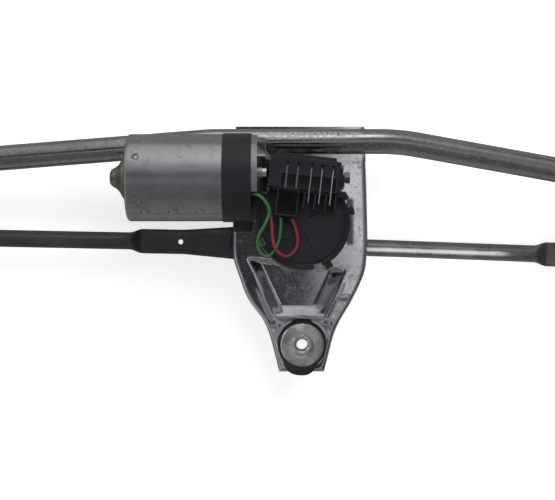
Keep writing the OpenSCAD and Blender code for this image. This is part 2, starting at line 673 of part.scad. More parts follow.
module terminal_strips() color("#c8c8c4") on_plug() for (i = [0 : 4]) strip(i, strip_w, strip_h, -2.2);

spring_t = 0.8;           // sheet of the cover clips
clip_top = cover_top + spring_t + gap;
module cover_clips() color("#c8c8c4")
    for (deg = cover_clip_deg) at(output_axis, pan_z[0] - spring_t - gap, deg)
        translate([cover_r + gap, -3, 0]) {
            clip_h = clip_top - pan_z[0] + 2 * spring_t + gap;
            cube([spring_t, 6, clip_h]);
            translate([-3, 0, clip_h - spring_t]) cube([3.1, 6, spring_t]);
            translate([-3, 0, 0]) cube([3.1, 6, spring_t]);
        }

// ---------- motor ----------

yoke_wall = 2.5;
cap_t = 2;
nose_len = 15;
rear_bearing_r = 6.5;
module yoke() color("#9fa2a6") difference() {
    along_x(yoke_r, yoke_left, yoke_right);
    along_x(yoke_r - yoke_wall, yoke_left - 1, yoke_right + 1);
}

module yoke_end_cap() color("#8c8d8a") difference() {
    union() {
        along_x(yoke_r - yoke_wall - 0.1, yoke_left + 0.5, yoke_left + 6);
        translate([yoke_left + 1, motor_y, motor_z]) rotate([0, -90, 0]) {
            cylinder(r1 = 16, r2 = 9, h = nose_len * 0.55);
            cylinder(r = 8, h = nose_len - 2);
            translate([0, 0, nose_len - 2]) cylinder(r1 = 8, r2 = 5.5, h = 2);
        }
    }
    along_x(yoke_r - 5, yoke_left + 0.5 + cap_t, yoke_left + 20);
    along_x(rear_bearing_r, yoke_left - nose_len + 5, yoke_left + 10);
}

module rear_bearing() color("#b08d57")
    ring_x(rear_bearing_r - 0.1, armature_r + gap, yoke_left - nose_len + 6, yoke_left - 2);
module front_bearing() color("#b9bbbd") ring_x(bearing_r - gap, armature_r + gap, bearing_x[0], bearing_x[1]);

magnet_x = [yoke_left + 10, yoke_left + 56];
magnet_t = 6.4;
module field_magnets() color("#3b3c3f") for (a = [0 : 90 : 270])
    translate([magnet_x[0], motor_y, motor_z]) rotate([a + 10, 0, 0]) rotate([90, 0, 90])
        linear_extrude(magnet_x[1] - magnet_x[0])
            ring_sector_2d(yoke_r - yoke_wall - 0.1, yoke_r - yoke_wall - 0.1 - magnet_t, 70);

// The worm is one start: a round section, set off the axis by one module, twisted along the shaft
worm_len = 30;
module armature_shaft() color("#c4c6c8") {
    along_x(armature_r, yoke_left - nose_len + 6, -worm_len / 2 + 0.1);
    translate([-worm_len / 2, motor_y, motor_z]) rotate([0, 90, 0])
        linear_extrude(worm_len, twist = -worm_len / (PI * gear_module) * 360, slices = 96, $fn = 24)
            translate([gear_module, 0]) circle(r = worm_r);
    along_x(armature_r - 0.1, worm_len / 2 - 0.1, worm_len / 2 + 12);
}

// A slot of width w and depth d, cut along the motor axis into the outside of radius r
module armature_slots(r, w, d, x) for (a = [0 : 30 : 330]) translate([x[0] - 1, motor_y, motor_z])
    rotate([a, 0, 0]) translate([0, -w / 2, r - d]) cube([x[1] - x[0] + 2, w, 2 * d]);

core_x = [yoke_left + 12, yoke_left + 48];
core_r = 23.5;
module armature_core() color("#6c6e70") difference() {
    ring_x(core_r, armature_r, core_x[0], core_x[1]);
    armature_slots(core_r, 2, 3.5, core_x);
}

winding_len = 7;
module armature_winding() color("#b5713c") for (x = [core_x[0] - winding_len, core_x[1]])
    ring_x(core_r - 3.5, armature_r + 2, x, x + winding_len);

commutator_x = [-75, -62];
commutator_r = 11;
module commutator() color("#c07a45") difference() {
    ring_x(commutator_r, armature_r, commutator_x[0], commutator_x[1]);
    armature_slots(commutator_r, 0.6, 1.5, commutator_x);
}

// Three brushes for two speeds, and the parts round each, placed at x along the motor axis
brush_deg = [80, 200, 320];
brush_w = 5.6;
module at_brushes(x) for (a = brush_deg) translate([x, motor_y, motor_z]) rotate([a, 0, 0]) children();

module brush_holder() color("#2a2622") difference() {
    union() {
        ring_x(yoke_r - 4, commutator_r + 1.5, -61, -58.5);
        at_brushes(-73) translate([0, -4.5, commutator_r + 1.5]) cube([13, 9, 13]);
    }
    at_brushes(-72) translate([0, -brush_w / 2 - 0.2, commutator_r - 1]) cube([9, brush_w + 0.4, 18]);
}

module brushes() color("#1f1f20") at_brushes(-71.5)
    translate([0, -brush_w / 2, commutator_r + 0.1]) cube([8, brush_w, 8]);

module brush_springs() color("#b9bbbd") at_brushes(-67.5)
    for (i = [0 : 3]) translate([0, 0, commutator_r + 8.2 + i * 1.4]) ring(2.3, 1.5, 0.9);

band_r = yoke_r + 0.7;
band_bore_r = yoke_r - 3.5;
flange_r = yoke_r - 0.5;
module motor_band() color("#1d1d1f") difference() {
    union() {
        difference() {
            translate([band_right - 1, motor_y - 33, cover_z + gap]) cube([12, 20, 4]);
            at(output_axis, 0) cylinder(r = cover_r + 4 * gap, h = 90);
        }
        ring_x(band_r, band_bore_r, yoke_right, flange_x);
        ring_x(band_r, flange_r + gap, flange_x - 0.1, band_right + 0.5);
        ring_x(yoke_r - 3, 21, flange_x - 9, flange_x - 3);
        translate([-54, motor_y - yoke_r - 8, plate_top + gap]) cube([14, 12, 34]);
    }
    along_x(band_bore_r, yoke_right - 1, flange_x - 10);
    along_x(flange_r + gap, flange_x, band_right + 3);
    screw_places(flange_x - 20) cylinder(r = screw_body_r, h = 20);
}

module yoke_screws() color("#c9c6bd") {
    screw_places(flange_x - 9) cylinder(r = screw_body_r - gap / 5, h = 21 + gap);
    screw_places(band_right + 9 + gap) cylinder(r = screw_head_r, h = 3);
}

module thrust_screw() color("#c9c6bd") {
    along_x(armature_r - 0.1, worm_len / 2 + 12.1, tunnel_end + 2);
    translate([tunnel_end + 2, motor_y, motor_z]) rotate([0, 90, 0]) cylinder(d = 10, h = 3, $fn = 6);
}

wire_r = 1.2;
wire_z = cover_top + 4;
module wire_along(points) wire([for (p = points) [p.x, p.y, wire_z + p.z]], wire_r);

module green_wire() color("#3f8a4a") wire_along([
    [-40.5, 117.2, 8], [-36, 117.4, 9.2], [-30, 113.6, 9.4], [-25.6, 105.4, 8], [-28.2, 96.4, 6],
    [-33.5, 86.7, 4.5], [-34.6, 79.2, 3], [-31.2, 72.4, 1.5], [-26.7, 70.9, 1], [-22.2, 74.6, 1],
    [-18.5, 82.9, 1], [-17, 94.2, 2.5], [-17.2, 100.4, 4],
]);
module red_wire() color("#a33a3f") wire_along([
    [-40.5, 117, 4.5], [-36, 117.2, 5.6], [-30, 113.4, 5.8], [-25.6, 105.2, 4.8], [-24.2, 98, 4.2],
    [-23.7, 91.9, 4.4], [-23, 82.9, 5],
    [-20.7, 76.2, 5], [-14.7, 70.9, 2.5], [-9.5, 72, 1], [-5, 77.7, 1], [-4.4, 85.2, 1], [-6.7, 94.2, 2.5],
    [-8.6, 99.4, 4],
]);

frame_tube();
motor_bracket();
tail_grommet();
tail_sleeve();
side_grommets();
side_sleeves();
left_pivot_housing();
right_pivot_housing();
spindle_bushes();
spindle_seals();
gear_housing();
output_bush();
motor_mount_bolts();
gear_cover();
cover_clips();
terminal_strips();
yoke();
yoke_end_cap();
field_magnets();
brush_holder();
brushes();
brush_springs();
motor_band();
yoke_screws();
front_bearing();
rear_bearing();
thrust_screw();
green_wire();
red_wire();
armature_shaft();
armature_core();
armature_winding();
commutator();
worm_wheel();
output_shaft();
output_clip();
output_washer();
park_contact_disc();
crank_arm();
crank_nut();
crank_ball_stud();
left_spindle();
left_lever();
left_ball_stud();
left_spindle_clip();
left_thrust_washer();
right_spindle();
right_lever();
right_ball_stud();
right_spindle_clip();
right_thrust_washer();
left_rod();
left_rod_crank_socket();
left_rod_lever_socket();
right_rod();
right_rod_crank_socket();
right_rod_lever_socket();
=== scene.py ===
"""Looks of a windshield wiper linkage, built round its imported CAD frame. Lengths are millimetres."""

import json
import math

import bmesh
import bpy
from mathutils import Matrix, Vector, noise


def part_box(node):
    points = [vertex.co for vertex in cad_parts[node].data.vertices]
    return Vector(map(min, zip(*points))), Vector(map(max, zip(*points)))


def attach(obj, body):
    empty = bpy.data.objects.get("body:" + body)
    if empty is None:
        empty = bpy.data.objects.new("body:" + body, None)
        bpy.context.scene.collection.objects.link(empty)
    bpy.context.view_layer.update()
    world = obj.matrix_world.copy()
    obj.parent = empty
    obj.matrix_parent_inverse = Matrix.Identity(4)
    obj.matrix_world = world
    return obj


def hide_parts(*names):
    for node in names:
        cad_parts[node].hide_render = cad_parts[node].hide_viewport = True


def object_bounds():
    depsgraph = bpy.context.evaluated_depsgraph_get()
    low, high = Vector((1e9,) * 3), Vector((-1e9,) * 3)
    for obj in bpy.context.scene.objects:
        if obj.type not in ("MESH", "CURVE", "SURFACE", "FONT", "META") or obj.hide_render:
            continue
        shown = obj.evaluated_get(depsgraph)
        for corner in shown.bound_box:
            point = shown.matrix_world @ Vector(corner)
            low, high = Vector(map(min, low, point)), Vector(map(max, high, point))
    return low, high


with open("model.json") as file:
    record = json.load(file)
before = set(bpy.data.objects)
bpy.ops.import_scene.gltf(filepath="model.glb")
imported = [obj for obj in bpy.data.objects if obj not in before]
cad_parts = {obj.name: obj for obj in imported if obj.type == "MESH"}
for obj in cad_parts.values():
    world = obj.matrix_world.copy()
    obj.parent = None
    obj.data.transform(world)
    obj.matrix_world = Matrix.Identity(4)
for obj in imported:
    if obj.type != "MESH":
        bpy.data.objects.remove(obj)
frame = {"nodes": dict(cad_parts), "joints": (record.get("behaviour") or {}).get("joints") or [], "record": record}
cad_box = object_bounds()

MM = 0.001
TAU = 2 * math.pi
nodes = frame["nodes"]


# ---- places that come from the frame ----

def box_mm(node):
    low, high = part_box(node)
    return low / MM, high / MM


def joint_at(name):
    joint = next(j for j in frame["joints"] if j["name"] == name)
    return Vector(joint["pos_m"]) / MM


def mount_at(name):
    mount = next(m for m in frame["record"]["mounts"] if m["name"] == name)
    return Vector(mount["pos_m"]) / MM


tube_low, tube_high = box_mm("frame_tube")
tube_r = (tube_high.z - tube_low.z) / 2
tube_z = tube_high.z - tube_r
tube_y = tube_high.y - tube_r
yoke_low, yoke_high = box_mm("yoke")
motor_axis = joint_at("armature_spin")
yoke_r = (yoke_high.z - yoke_low.z) / 2
output = joint_at("crank_turn")
plate_top = box_mm("motor_bracket")[1].z
plate_t = 2
cover_low, cover_high = box_mm("gear_cover")


# ---- mesh helpers ----

def piece(name, points, faces, origin=(0, 0, 0), sharp=35):
    """A new object from points in millimetres, measured from origin. Edges sharper than sharp stay crisp."""
    mesh = bpy.data.meshes.new(name)
    mesh.from_pydata([Vector(p) * MM for p in points], [], faces)
    work = bmesh.new()
    work.from_mesh(mesh)
    bmesh.ops.remove_doubles(work, verts=work.verts, dist=0.002 * MM)
    bmesh.ops.recalc_face_normals(work, faces=work.faces)
    work.to_mesh(mesh)
    work.free()
    obj = bpy.data.objects.new(name, mesh)
    obj.location = Vector(origin) * MM
    bpy.context.scene.collection.objects.link(obj)
    shade(obj, sharp)
    return obj


def shade(obj, sharp=35):
    mesh = obj.data
    mesh.polygons.foreach_set("use_smooth", [True] * len(mesh.polygons))
    mesh.set_sharp_from_angle(angle=math.radians(sharp))
    mesh.update()


def grid(rows, close_rows=False, close_columns=False):
    """Points and faces of a sheet through rows of points. It can close on itself either way."""
    width = len(rows[0])
    faces = []
    for i in range(len(rows) if close_rows else len(rows) - 1):
        a = i * width
        b = (i + 1) % len(rows) * width
        for k in range(width if close_columns else width - 1):
            n = (k + 1) % width
            faces.append((a + k, a + n, b + n, b + k))
    return [p for row in rows for p in row], faces


def apply_modifiers(obj, sharp=35):
    """Keeps the shape that the modifiers make, and drops the modifiers."""
    graph = bpy.context.evaluated_depsgraph_get()
    made = bpy.data.meshes.new_from_object(obj.evaluated_get(graph))
    obj.modifiers.clear()
    obj.data = made
    shade(obj, sharp)
    return obj


def combine(obj, others, operation, sharp=35):
    """Adds or cuts away the other objects, which are then gone."""
    for other in others:
        step = obj.modifiers.new("combine", "BOOLEAN")
        step.operation = operation
        step.solver = "EXACT"
        step.object = other
    apply_modifiers(obj, sharp)
    for other in others:
        bpy.data.objects.remove(other)
    return obj


def bevel(obj, width, segments=3, angle=30):
    step = obj.modifiers.new("bevel", "BEVEL")
    step.width = width * MM
    step.segments = segments
    step.limit_method = "ANGLE"
    step.angle_limit = math.radians(angle)
    return obj


def prism(outline, low, high, origin=(0, 0, 0), round_by=0):
    """An upright block over a flat outline, with its edges rounded."""
    n = len(outline)
    points = [(x, y, z) for z in (low, high) for x, y in outline]
    faces = [(i, (i + 1) % n, n + (i + 1) % n, n + i) for i in range(n)]
    faces += [tuple(range(n)), tuple(range(n, 2 * n))]
    obj = piece("prism", points, faces, origin)
    if round_by:
        apply_modifiers(bevel(obj, round_by))
    return obj


def block(x, y, z, origin=(0, 0, 0), turn=0, round_by=0.5):
    """A rounded box between the two values of each of x, y and z, turned about origin by turn degrees."""
    outline = [(x[0], y[0]), (x[1], y[0]), (x[1], y[1]), (x[0], y[1])]
    obj = prism(outline, z[0], z[1], origin, round_by)
    obj.rotation_euler.z = math.radians(turn)
    return obj


def rod_shape(r, low, high, origin, axis="Z", sides=64):
    """A plain round bar, used to cut holes and to build other shapes from."""
    return lathe("bar", [(0, low), (r, low), (r, high), (0, high)], origin, axis, sides)


def lathe(name, profile, origin, axis="Z", steps=96, relief=None, sharp=35):
    """A turned piece. profile is a loop of (radius, height) points.
    relief(angle, radius, height) is added to the radius."""
    rows = []
    for i in range(steps):
        a = TAU * i / steps
        row = []
        for r, h in profile:
            if relief:
                r += relief(a, r, h)
            across, up = r * math.cos(a), r * math.sin(a)
            row.append((across, up, h) if axis == "Z" else (h, across, up))
        rows.append(row)
    return piece(name, *grid(rows, True, True), origin, sharp)


def rounded(corners, steps=4):
    """A closed loop from corners (x, y, radius): a corner with a radius becomes a curve."""
    loop = []
    for i, (x, y, r) in enumerate(corners):
        corner = Vector((x, y))
        if r == 0:
            loop.append(corner)
            continue
        before = Vector(corners[i - 1][:2]) - corner
        after = Vector(corners[(i + 1) % len(corners)][:2]) - corner
        a = corner + before.normalized() * min(r, before.length * 0.49)
        b = corner + after.normalized() * min(r, after.length * 0.49)
        for k in range(steps + 1):
            t = k / steps
            loop.append(a * (1 - t) ** 2 + corner * 2 * t * (1 - t) + b * t * t)
    return loop


def smooth(t):
    t = min(1, max(0, t))
    return t * t * (3 - 2 * t)


def mix(a, b, t):
    return a + (b - a) * t


def wobble(x, y, size, seed):
    """Smooth noise from about -1 to 1, whose waves are size millimetres long."""
    return noise.noise(Vector((x / size, y / size, seed)))


def spread(start, end, step):
    """Evenly spaced values from start to end, about step apart."""
    count = max(1, round(abs(end - start) / step))
    return [mix(start, end, i / count) for i in range(count + 1)]


def curve_at(points, x):
    """y at x on a smooth curve through (x, y) points, given in falling order of x."""
    for i in range(len(points) - 1):
        if x >= points[i + 1][0] or i == len(points) - 2:
            break
    (x0, y0), (x1, y1) = points[i], points[i + 1]
    before = points[max(i - 1, 0)]
    after = points[min(i + 2, len(points) - 1)]
    slope0 = (y1 - before[1]) / (x1 - before[0])
    slope1 = (after[1] - y0) / (after[0] - x0)
    t = (x - x0) / (x1 - x0)
    span = x1 - x0
    t2, t3 = t * t, t * t * t
    return ((2 * t3 - 3 * t2 + 1) * y0 + (t3 - 2 * t2 + t) * slope0 * span
            + (3 * t2 - 2 * t3) * y1 + (t3 - t2) * slope1 * span)


# ---- materials ----

def node(tree, kind, inputs=None, out=0, **settings):
    """Adds a shader node and returns one of its outputs. An input is a value or another node's output."""
    made = tree.nodes.new("ShaderNode" + kind)
    for key, value in settings.items():
        setattr(made, key, value)
    for key, value in (inputs or {}).items():
        if isinstance(value, bpy.types.NodeSocket):
            tree.links.new(value, made.inputs[key])
        else:
            made.inputs[key].default_value = value
    return made.outputs[out]


def remap(tree, value, low, high, to_low=0.0, to_high=1.0):
    return node(tree, "MapRange", {"Value": value, "From Min": low, "From Max": high,
                                   "To Min": to_low, "To Max": to_high})


def blend_colour(tree, share, a, b):
    return node(tree, "MixRGB", {"Fac": share, "Color1": a, "Color2": b})


def maths(tree, operation, a, b=0.0):
    return node(tree, "Math", {0: a, 1: b}, operation=operation)


def coords_mm(tree, stretch=(1, 1, 1)):
    """The piece's own coordinates in millimetres, squeezed by stretch along each axis."""
    place = node(tree, "TexCoord", out="Object")
    return node(tree, "VectorMath", {0: place, 1: tuple(s / MM for s in stretch)}, operation="MULTIPLY")


def edge_mask(tree, radius):
    """1 on the edges of the shape, 0 away from them."""
    soft = node(tree, "Bevel", {"Radius": radius * MM}, samples=4)
    true = node(tree, "NewGeometry", out="Normal")
    along = node(tree, "VectorMath", {0: soft, 1: true}, out="Value", operation="DOT_PRODUCT")
    return remap(tree, along, 0.985, 0.88)


def colour(r, g, b):
    return (r, g, b, 1)


def flaked(tree, place, size, shown, roughness):
    """Crystals of slightly different brightness and gloss, as on galvanised sheet."""
    cells = node(tree, "TexVoronoi", {"Vector": place, "Scale": 1 / size}, out="Color")
    flake = node(tree, "SeparateColor", {"Color": cells})
    shown = node(tree, "HueSaturation", {"Color": shown, "Value": remap(tree, flake, 0, 1, 0.9, 1.1)})
    return shown, maths(tree, "ADD", roughness, remap(tree, flake, 0, 1, -0.02, 0.04))


def dirtied(tree, place, dirt, shown, roughness):
    """Patches of another, duller colour."""
    grime = node(tree, "TexNoise", {"Vector": place, "Scale": 1 / 7, "Detail": 6.0, "Roughness": 0.7})
    spot = remap(tree, grime, 0.54, 0.68)
    shown = blend_colour(tree, maths(tree, "MULTIPLY", spot, 0.75), shown, colour(*dirt))
    return shown, maths(tree, "ADD", roughness, maths(tree, "MULTIPLY", spot, 0.08))


def tint_edges(tree, place, edge_tint, shown):
    """Edges of another colour: rubbed wear, and on black plastic partly a painted highlight."""
    scratch = node(tree, "TexNoise", {"Vector": place, "Scale": 0.6, "Detail": 5.0, "Roughness": 0.7})
    share = maths(tree, "MULTIPLY", edge_mask(tree, 0.7), remap(tree, scratch, 0.42, 0.6))
    return blend_colour(tree, maths(tree, "MULTIPLY", share, 0.8), shown, colour(*edge_tint))


def turned(tree, place, spacing, shader, fine):
    """Turning marks round the piece's own Z axis. They stretch its highlights and stand out in its height."""
    wave = node(tree, "TexWave", {"Vector": place, "Scale": TAU / (20 * spacing), "Distortion": 0.5,
                                  "Detail": 1.0}, out="Fac", wave_type="RINGS", rings_direction="Z")
    around = node(tree, "Tangent", direction_type="RADIAL", axis="Z")
    tree.links.new(around, shader.inputs["Tangent"])
    shader.inputs["Anisotropic"].default_value = 0.75
    shader.inputs["Anisotropic Rotation"].default_value = 0.25
    return maths(tree, "ADD", maths(tree, "MULTIPLY", fine, 0.06), wave)


def finish(name, base, tint, metallic, rough, grain, depth, stretch=(1, 1, 1), blotch=18,
           edge_tint=None, dirt=None, speckle=None, rings=None, coat=0.0):
    """A finish that varies between two colours and two roughnesses.
    grain and depth: size and height of its fine texture. blotch: size of its patches.
    The colour for its edges is rubbed wear, and on black plastic partly a painted highlight. dirt: colour that
    sits in patches. speckle: size of its flakes.
    rings: spacing of turning marks round the piece's own Z axis."""
    material = bpy.data.materials.new(name)
    material.use_nodes = True
    tree = material.node_tree
    shader = tree.nodes["Principled BSDF"]
    place = coords_mm(tree)
    fine = node(tree, "TexNoise", {"Vector": coords_mm(tree, stretch), "Scale": 1 / grain,
                                   "Detail": 3.0, "Roughness": 0.6})
    broad = node(tree, "TexNoise", {"Vector": place, "Scale": 1 / blotch, "Detail": 4.0, "Roughness": 0.62})
    shown = blend_colour(tree, remap(tree, broad, 0.36, 0.64), colour(*base), colour(*tint))
    both = maths(tree, "ADD", maths(tree, "MULTIPLY", fine, 0.5), maths(tree, "MULTIPLY", broad, 0.5))
    roughness = remap(tree, both, 0.36, 0.64, *rough)
    if speckle:
        shown, roughness = flaked(tree, place, speckle, shown, roughness)
    height = turned(tree, place, rings, shader, fine) if rings else fine
    if dirt:
        shown, roughness = dirtied(tree, place, dirt, shown, roughness)
    if edge_tint:
        shown = tint_edges(tree, place, edge_tint, shown)
    tree.links.new(shown, shader.inputs["Base Color"])
    tree.links.new(roughness, shader.inputs["Roughness"])
    tree.links.new(node(tree, "Bump", {"Strength": 1.0, "Distance": depth * MM, "Height": height}),
                   shader.inputs["Normal"])
    shader.inputs["Metallic"].default_value = metallic
    shader.inputs["Coat Weight"].default_value = coat
    shader.inputs["Coat Roughness"].default_value = 0.25
    return material


finishes = {
    "galvanised_steel": finish(
        "galvanised_steel", (0.39, 0.39, 0.40), (0.43, 0.43, 0.44), 1.0, (0.12, 0.19), 0.9, 0.0015,
        stretch=(0.1, 1, 1), blotch=30, dirt=(0.36, 0.35, 0.33), speckle=2.4),
    "bright_zinc_steel": finish(
        "bright_zinc_steel", (0.66, 0.66, 0.67), (0.59, 0.59, 0.60), 1.0, (0.07, 0.13), 0.9, 0.0005,
        stretch=(1, 0.3, 1), blotch=22, dirt=(0.5, 0.5, 0.52), edge_tint=(0.8, 0.8, 0.82)),
    # Used for the left rod. Its near-black colour is painted shade: the rod is likely the same plated steel as the
    # right rod, and is dark only for the dark room it mirrors. Its lighter edges are chipped wear.
    "black_painted_steel": finish(
        "black_painted_steel", (0.07, 0.07, 0.076), (0.09, 0.09, 0.096), 0.6, (0.28, 0.42), 0.8, 0.02,
        edge_tint=(0.12, 0.12, 0.125), coat=0.3),
    "cast_aluminium": finish(
        "cast_aluminium", (0.42, 0.42, 0.43), (0.52, 0.52, 0.53), 1.0, (0.36, 0.52), 0.5, 0.05,
        dirt=(0.3, 0.29, 0.27), edge_tint=(0.8, 0.8, 0.8)),
    "turned_steel": finish(
        "turned_steel", (0.86, 0.84, 0.78), (0.76, 0.74, 0.68), 1.0, (0.2, 0.3), 0.8, 0.005,
        blotch=8, dirt=(0.4, 0.38, 0.32), edge_tint=(0.8, 0.78, 0.7), rings=0.55),
    "polished_steel": finish(
        "polished_steel", (0.66, 0.67, 0.68), (0.58, 0.59, 0.6), 1.0, (0.12, 0.26), 0.5, 0.01, rings=0.4),
    "spring_steel": finish(
        "spring_steel", (0.16, 0.16, 0.17), (0.24, 0.24, 0.25), 1.0, (0.28, 0.42), 0.5, 0.02,
        edge_tint=(0.5, 0.5, 0.5)),
    "bronze": finish(
        "bronze", (0.48, 0.32, 0.15), (0.38, 0.25, 0.12), 1.0, (0.3, 0.5), 0.3, 0.05, speckle=0.5),
    "copper": finish(
        "copper", (0.62, 0.26, 0.13), (0.5, 0.2, 0.1), 1.0, (0.22, 0.4), 0.5, 0.05, stretch=(1, 0.2, 0.2)),
    "ferrite": finish(
        "ferrite", (0.04, 0.04, 0.042), (0.06, 0.06, 0.062), 0.0, (0.6, 0.8), 0.4, 0.06),
    "laminated_iron": finish(
        "laminated_iron", (0.2, 0.2, 0.2), (0.28, 0.28, 0.28), 1.0, (0.4, 0.6), 0.5, 0.15,
        stretch=(1, 0.03, 0.03), dirt=(0.15, 0.1, 0.07)),
    "carbon": finish("carbon", (0.02, 0.02, 0.02), (0.035, 0.035, 0.035), 0.2, (0.5, 0.7), 0.3, 0.04),
    # Its lighter edges are partly rubbed wear and partly a painted highlight.
    "black_plastic": finish(
        "black_plastic", (0.013, 0.013, 0.016), (0.019, 0.019, 0.023), 0.0, (0.34, 0.5), 0.35, 0.02,
        edge_tint=(0.05, 0.05, 0.055)),
    "black_rubber": finish(
        "black_rubber", (0.012, 0.012, 0.012), (0.022, 0.021, 0.02), 0.0, (0.5, 0.72), 0.5, 0.05,
        dirt=(0.06, 0.055, 0.05)),
    "nylon": finish("nylon", (0.66, 0.62, 0.5), (0.58, 0.54, 0.43), 0.0, (0.35, 0.55), 0.4, 0.03),
    "green_insulation": finish(
        "green_insulation", (0.035, 0.15, 0.045), (0.05, 0.2, 0.065), 0.0, (0.3, 0.5), 0.4, 0.03, blotch=8),
    "red_insulation": finish(
        "red_insulation", (0.26, 0.04, 0.05), (0.2, 0.03, 0.04), 0.0, (0.3, 0.5), 0.4, 0.03, blotch=8),
}
# Finishes of single pieces that look unlike the rest of their slot
rod_finish = finish(
    "dull_zinc", (0.23, 0.23, 0.235), (0.3, 0.3, 0.3), 1.0, (0.26, 0.38), 0.9, 0.012,
    stretch=(0.4, 1, 1), blotch=14, dirt=(0.2, 0.2, 0.2), speckle=1.5)
yoke_finish = finish(
    "satin_zinc", (0.40, 0.41, 0.43), (0.46, 0.47, 0.47), 1.0, (0.26, 0.36), 0.7, 0.006,
    stretch=(1, 0.25, 0.25), blotch=16, dirt=(0.33, 0.33, 0.3))
cap_finish = finish(
    "bronzed_steel", (0.26, 0.24, 0.19), (0.34, 0.32, 0.27), 0.95, (0.25, 0.42), 0.8, 0.03,
    stretch=(1, 0.4, 0.4), blotch=7, dirt=(0.1, 0.09, 0.07))


def place_piece(obj, name, body, slot, stands_for=(), material=None):
    """Names a finished piece, gives it its body and its finish, and hides the CAD nodes it stands for."""
    obj.name = name
    obj.data.name = name
    obj.data.materials.clear()
    obj.data.materials.append(material or finishes[slot])
    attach(obj, body)
    if stands_for:
        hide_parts(*stands_for)
    return obj


# ---- frame tube ----

# On the left (-1) and the right (1): where the bend starts, its degrees, the straight length beyond it
BENDS = {-1: (-66, 4.5, 208), 1: (62, 10.2, 203)}
BEND_R = 170
TUBE_WALL = 1.5
SCUFF = (-34, 46)  # stretch over the bracket where the tube is scuffed by welding
CRIMP_IN = 14  # how far the crimps that hold the cast ends lie from the tube's ends
CRIMP_R = 2.6


def tube_half(side):
    """Points (x, y, heading in degrees) on the centre line, from the start of a bend to the tube's end."""
    bend_x, bend_deg, arm_len = BENDS[side]
    line = []
    for d in spread(0, bend_deg, 0.75):
        a = math.radians(d)
        line.append((bend_x + side * BEND_R * math.sin(a), tube_y - BEND_R * (1 - math.cos(a)), -side * d))
    turn = math.radians(bend_deg)
    start = Vector(line[-1][:2])
    run = Vector((side * math.cos(turn), -math.sin(turn)))
    return line + [(*(start + run * s), -side * bend_deg) for s in spread(0, arm_len, 4)[1:]]


def tube_path():
    """Points (x, y, heading in degrees) along the tube's centre line, from the left end to the right."""
    middle = [(x, tube_y, 0) for x in spread(BENDS[-1][0], BENDS[1][0], 1.2)[1:-1]]
    return tube_half(-1)[::-1] + middle + tube_half(1)


def tube_relief(x, a):
    """Dents in the tube: weld scuffs over the bracket, and crimps that hold the cast ends."""
    dent = 0
    if SCUFF[0] < x < SCUFF[1]:
        band = math.exp(-((a - 0.55) / 0.38) ** 2) * smooth((x - SCUFF[0]) / 8) * smooth((SCUFF[1] - x) / 8)
        dent -= 0.16 * band * (1 + wobble(x, a * tube_r, 2.2, 3.1) + wobble(x, a * tube_r, 0.9, 7.7))
    for end in (tube_low.x, tube_high.x):
        for centre in (1.1, -1.1):
            d2 = ((abs(x - end) - CRIMP_IN) / CRIMP_R) ** 2 + ((a - centre) * tube_r / CRIMP_R) ** 2
            dent -= 0.9 * math.exp(-d2 * 1.4)
    return dent + 0.03 * wobble(x, a * 8, 26, 1.3)


def frame_tube():
    steps = 72
    rings = []
    for r0, bumpy in ((tube_r, True), (tube_r - TUBE_WALL, False)):
        part = []
        for x, y, heading in tube_path():
            h = math.radians(heading)
            row = []
            for i in range(steps):
                a = TAU * i / steps
                away = a if a < math.pi else a - TAU
                r = r0 + (tube_relief(x, away) if bumpy else 0)
                across = r * math.sin(a)
                row.append((x - across * math.sin(h), y + across * math.cos(h), tube_z + r * math.cos(a)))
            part.append(row)
        rings += part if bumpy else part[::-1]
    obj = piece("frame_tube", *grid(rings, True, True), sharp=50)
    place_piece(obj, "bent_tube", "frame", "galvanised_steel", ["frame_tube"])


# ---- bracket ----

# The edges of the bracket as (distance from the tail mount, x), from the tube to the tail
RIGHT_EDGE = [(174, 50), (92, 52.5), (72, 52), (57, 50), (36, 40.5), (19, 30.5), (8, 25.5), (-6, 21.8),
              (-22, 17.8)]
LEFT_EDGE = [(174, -53), (92, -55.2), (70, -55), (55, -50.5), (36, -43), (20, -31.5), (9, -26.5),
             (-5, -22.5), (-22, -18.3)]
TUBE_END = RIGHT_EDGE[0][0]
TAIL_END = RIGHT_EDGE[-1][0]
# The pocket as (corner, width of the wall that runs from it to the next corner)
POCKET = [((36, 60), 12), ((18, 23), 9), ((-22.5, 23), 9), ((-45, 70), 3)]
POCKET_TOP = 60
POCKET_DEPTH = 2.6  # at its top
POCKET_FALL = 0.03  # how much its floor falls for each millimetre towards the tube
BEAD_H = 0.6  # low bead round the pocket, which fades out towards the tube
BEAD_OUT = 1.4
BEAD_W = 1.9
HUMPS = ((21, 16.5, 0.9), (-21, 16, 0.8))  # beside the tail mount: x, y and height
HUMP_R = 3.2
RIB_Y = 37.5  # short rib across the right edge
RECESS_X = (33, 41)  # shallow sloped recess beside the gear cover
RECESS_Y = (79, 118)
SEAT_R = 23.5  # sunk seat of the tail grommet
RIM_H = 5
RIM_R = 3
SADDLE_GAP = 0.05
TAIL_HOLE_R = 16.5
HUB_HOLE_R = 13.5
BOLT_HOLE_R = 3.3
BOLT_CIRCLE_R = 32
BOLT_DEG = (40, 140, 250)


def pocket_relief(x, y):
    """Depth of the pressed pocket below the plate, with the bead round it."""
    share = 1
    nearest = math.inf
    for i, ((x0, y0), width) in enumerate(POCKET):
        x1, y1 = POCKET[(i + 1) % len(POCKET)][0]
        inside = ((x1 - x0) * (y0 - y) - (y1 - y0) * (x0 - x)) / math.hypot(x1 - x0, y1 - y0)
        share *= smooth(inside / width)
        nearest = min(nearest, inside)
    bead = BEAD_H * math.exp(-((nearest + BEAD_OUT) / BEAD_W) ** 2) * smooth((54 - y) / 20)
    return bead - (POCKET_DEPTH - POCKET_FALL * (POCKET_TOP - y)) * share


